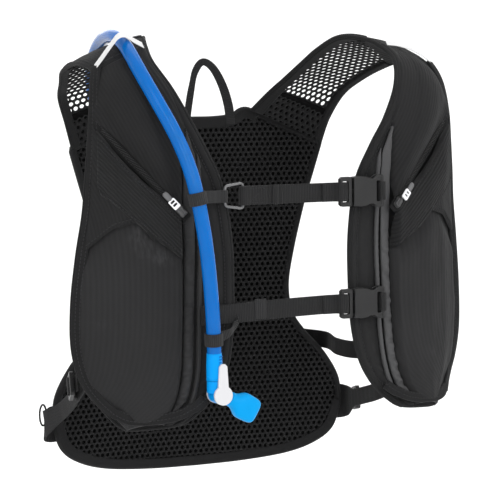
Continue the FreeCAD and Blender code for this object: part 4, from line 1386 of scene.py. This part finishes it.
def make_keepers():
    """Elastic loops round the hose, each with a tab to its chest strap."""
    for level, z in (("upper", 54.0), ("lower", -62.0)):
        centre, along = hose_at(z)
        end = Vector((RING_X[0] - 1.4, WEB_Y - 1.5, z)) if level == "upper" else Vector((-56, WEB_Y - 2, -55))
        reach = end - centre
        reach = (reach - along * reach.dot(along)).normalized()
        third = along.cross(reach).normalized()
        ring = [centre + (reach * cos(tau * i / 40) + third * sin(tau * i / 40)) * 7.0
                for i in range(40)]
        loop = band("k1", ring, along, 10.6, 1.5, "elastic", loop=True)
        start = centre + reach * 6.9 - third * 1.0
        if level == "upper":
            points = [start, mix(start, end, 0.35), mix(start, end, 0.8), end + Vector((1.6, -1.4, 0)),
                      end + Vector((2.9, 0.2, 0)), end + Vector((1.4, 1.6, 0)), end + Vector((-3, 1.3, 0))]
            tab = band("k2", sampled(points, 40), UPWARD, 10.4, 1.2, "elastic")
        else:
            points = [start, start + reach * 5, mix(start, end, 0.5) + Vector((4, 0, 0)), end,
                      end + Vector((3, 1, 5)), end + Vector((2, 2.2, 9))]
            widths = [mix(10, 5.5, smooth(i / 39, 0.1, 0.5)) for i in range(40)]
            tab = band("k2", sampled(points, 40), along, widths, 1.1, "elastic")
        piece = join(f"hose_loop_{level}", [loop, tab])
        on_vest(piece, "elastic", "hose_keeper_" + level)


for level, z in CHEST_Z.items():
    make_buckle(level, z)
    make_chest_strap(level, z)
make_ring()
make_keepers()


# ---------------------------------------------------------------- zips
def make_zip(side, word):
    def place(s, w, h):
        return mirrored(zip_place(s, w, h), side)

    steps = 60
    rings, shape = [], [(-1, 0.2), (-0.9, 0.8), (-0.3, 1.0), (0.3, 1.0), (0.9, 0.8), (1, 0.2), (0, 0.0)]
    for i in range(steps + 1):
        s = mix(-8, ZIP_LONG, i / steps)
        rings.append([place(s, w * 4.2, h * 1.2) for w, h in shape])
    tape = loft("z1", rings, "tape", lambda i, j: (j * 1.3, i * 1.8))
    coil = []
    for row in (-1, 1):
        line, turns = [], int(ZIP_LONG / 1.5)
        for i in range(turns * 6 + 1):
            turn = tau * i / 6
            line.append(place(-3 + 1.5 * i / 6 + 0.75 * (row > 0), row * 0.75 + 0.85 * cos(turn),
                              1.35 + 0.5 * sin(turn)))
        coil.append(tube("z2", line, 0.28, "coil", sides=5, wide=mirrored(ZIP_OUT, side)))
    on_vest(join("zip_coil_" + word, [tape, *coil]), "zip_tape", "zip_track_" + word)

    base = ZIP_T + 0.2
    outline = [(-4.5, -2.6), (-3.4, -3.4), (0, -3.1), (3.4, -3.5), (4.5, -2.7), (4.5, 2.7), (3.4, 3.5),
               (0, 3.1), (-3.4, 3.4), (-4.5, 2.6)]
    body = plate("z3", outline, [], place, base, base + 1.3, "metal", 0.0004)
    inset = [(u * 0.86, v * 0.86) for u, v in outline]
    crown = plate("z4", inset, [], place, base + 1.2, base + 2.8, "metal", 0.0006)
    bridge = boxes("z5", [(-2.5, 6.2, -0.9, 0.9, base + 2.6, base + 3.5),
                          (4.9, 6.2, -0.9, 0.9, base + 0.8, base + 6.0)], "metal", place, 0.0004)
    pin = tube("z6", [place(PIN_S, w, PIN_H) for w in (-2.8, 0, 2.8)], 0.65, "metal",
               wide=mirrored(ZIP_OUT, side))
    slider = join("slider_" + word, [body, crown, bridge, pin])
    tag(slider, "slider_" + word, "zip_metal", "zip_slider_" + word)

    holes = [rounded_box(6.9, 8.7, -1.9, 1.9, 0.4), rounded_box(9.9, 11.7, -1.9, 1.9, 0.4)]
    ladder = plate("z7", rounded_box(4.2, 13.2, -3.1, 3.1, 1.0), holes, place, 6.3, 8.1, "pull_white", 0.0003)
    cord = tube("z8", [place(s, 0, PIN_H) for s in (12.2, 13, 14.5, 16.5, 18.5, 20.5, 21.4)],
                [1.4, 1.9, 2.4, 2.5, 2.5, 2.2, 1.2], "pull_grey", sides=14, flat=0.55,
                wide=mirrored(ZIP_ACROSS, side))
    tag(join("pull_tab_" + word, [ladder, cord]), "pull_" + word, "zip_pull", "zip_pull_" + word)


for side, word in SIDES:
    make_zip(side, word)

# ---------------------------------------------------------------- valve, coupler, reservoir
VALVE = Vector((-75, -103.5, -108))
DROP = radians(30)
SPOUT = Vector((cos(DROP), 0, -sin(DROP)))
SPOUT_UP = Vector((sin(DROP), 0, cos(DROP)))
BITE = [(9.0, 5.6, 5.6), (9.3, 6.1, 6.1), (12, 6.2, 6.2), (14, 6.6, 6.6), (17, 8.4, 6.8), (20, 10.6, 7.0),
        (22.5, 11.2, 7.1), (28, 11.0, 6.9), (33, 10.7, 6.2), (35.6, 9.6, 5.0), (36.8, 8.0, 3.9),
        (37.0, 6.4, 2.8)]


def make_bite():
    rings = []
    for s, half, thick in BITE:
        centre = VALVE + SPOUT * s + SPOUT_UP * 0.8
        power = mix(2.0, 3.4, smooth(s, 14, 22))
        ring = []
        for i in range(40):
            turn = tau * i / 40
            c, d = cos(turn), sin(turn)
            size = (abs(c) ** power + abs(d) ** power) ** (-1 / power)
            ring.append(centre + SPOUT_UP * (half * size * c) + BACKWARD * (thick * size * d))
        rings.append(ring)
    slit = [VALVE + SPOUT * 35.5 + SPOUT_UP * 0.8 + SPOUT_UP * (5 * cos(tau * i / 40))
            + BACKWARD * (0.5 * sin(tau * i / 40)) for i in range(40)]
    bite = loft("bite_mouth", rings + [slit], "bite")
    modify(bite, "SUBSURF", levels=1, render_levels=1)
    return on_vest(bite, "bite_silicone", "bite_valve")


def dress(node, material):
    """A CAD piece kept as it is, with its own finish."""
    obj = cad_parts[node]
    obj.data.materials.clear()
    obj.data.materials.append(M[material])
    for polygon in obj.data.polygons:
        polygon.material_index = 0
    return obj


elbow, lever, coupler = (dress(node, material) for node, material in (
    ("valve_elbow", "valve"), ("valve_lever", "lever"), ("hose_coupler", "valve")))
for node, material in (("fill_neck", "valve"), ("fill_cap", "valve"), ("reservoir", "film")):
    dress(node, material)
bite = make_bite()


def make_fitting():
    """The moulded sleeve that carries the elbow, over the end of the hose, with four ribs."""
    sleeve = [p for p in FRONT if p.z < -72.5]
    radii = [6.2 + 0.5 * smooth(i, 0, 3) for i in range(len(sleeve))]
    parts = [tube("c1", sleeve, radii, "valve", sides=28, wide=(1, 0, 0))]
    for z in (-76.0, -78.4, -80.8, -83.2):
        centre, _ = hose_at(z)
        arc = [centre + Vector((cos(radians(a)), sin(radians(a)), 0)) * 6.75
               for a in range(-75, 30, 7)]
        parts.append(tube("c2", arc, 0.38, "hose", sides=6, wide=UPWARD))
    return join("hose_fitting", parts)


collar = on_vest(make_fitting(), "valve_blue")
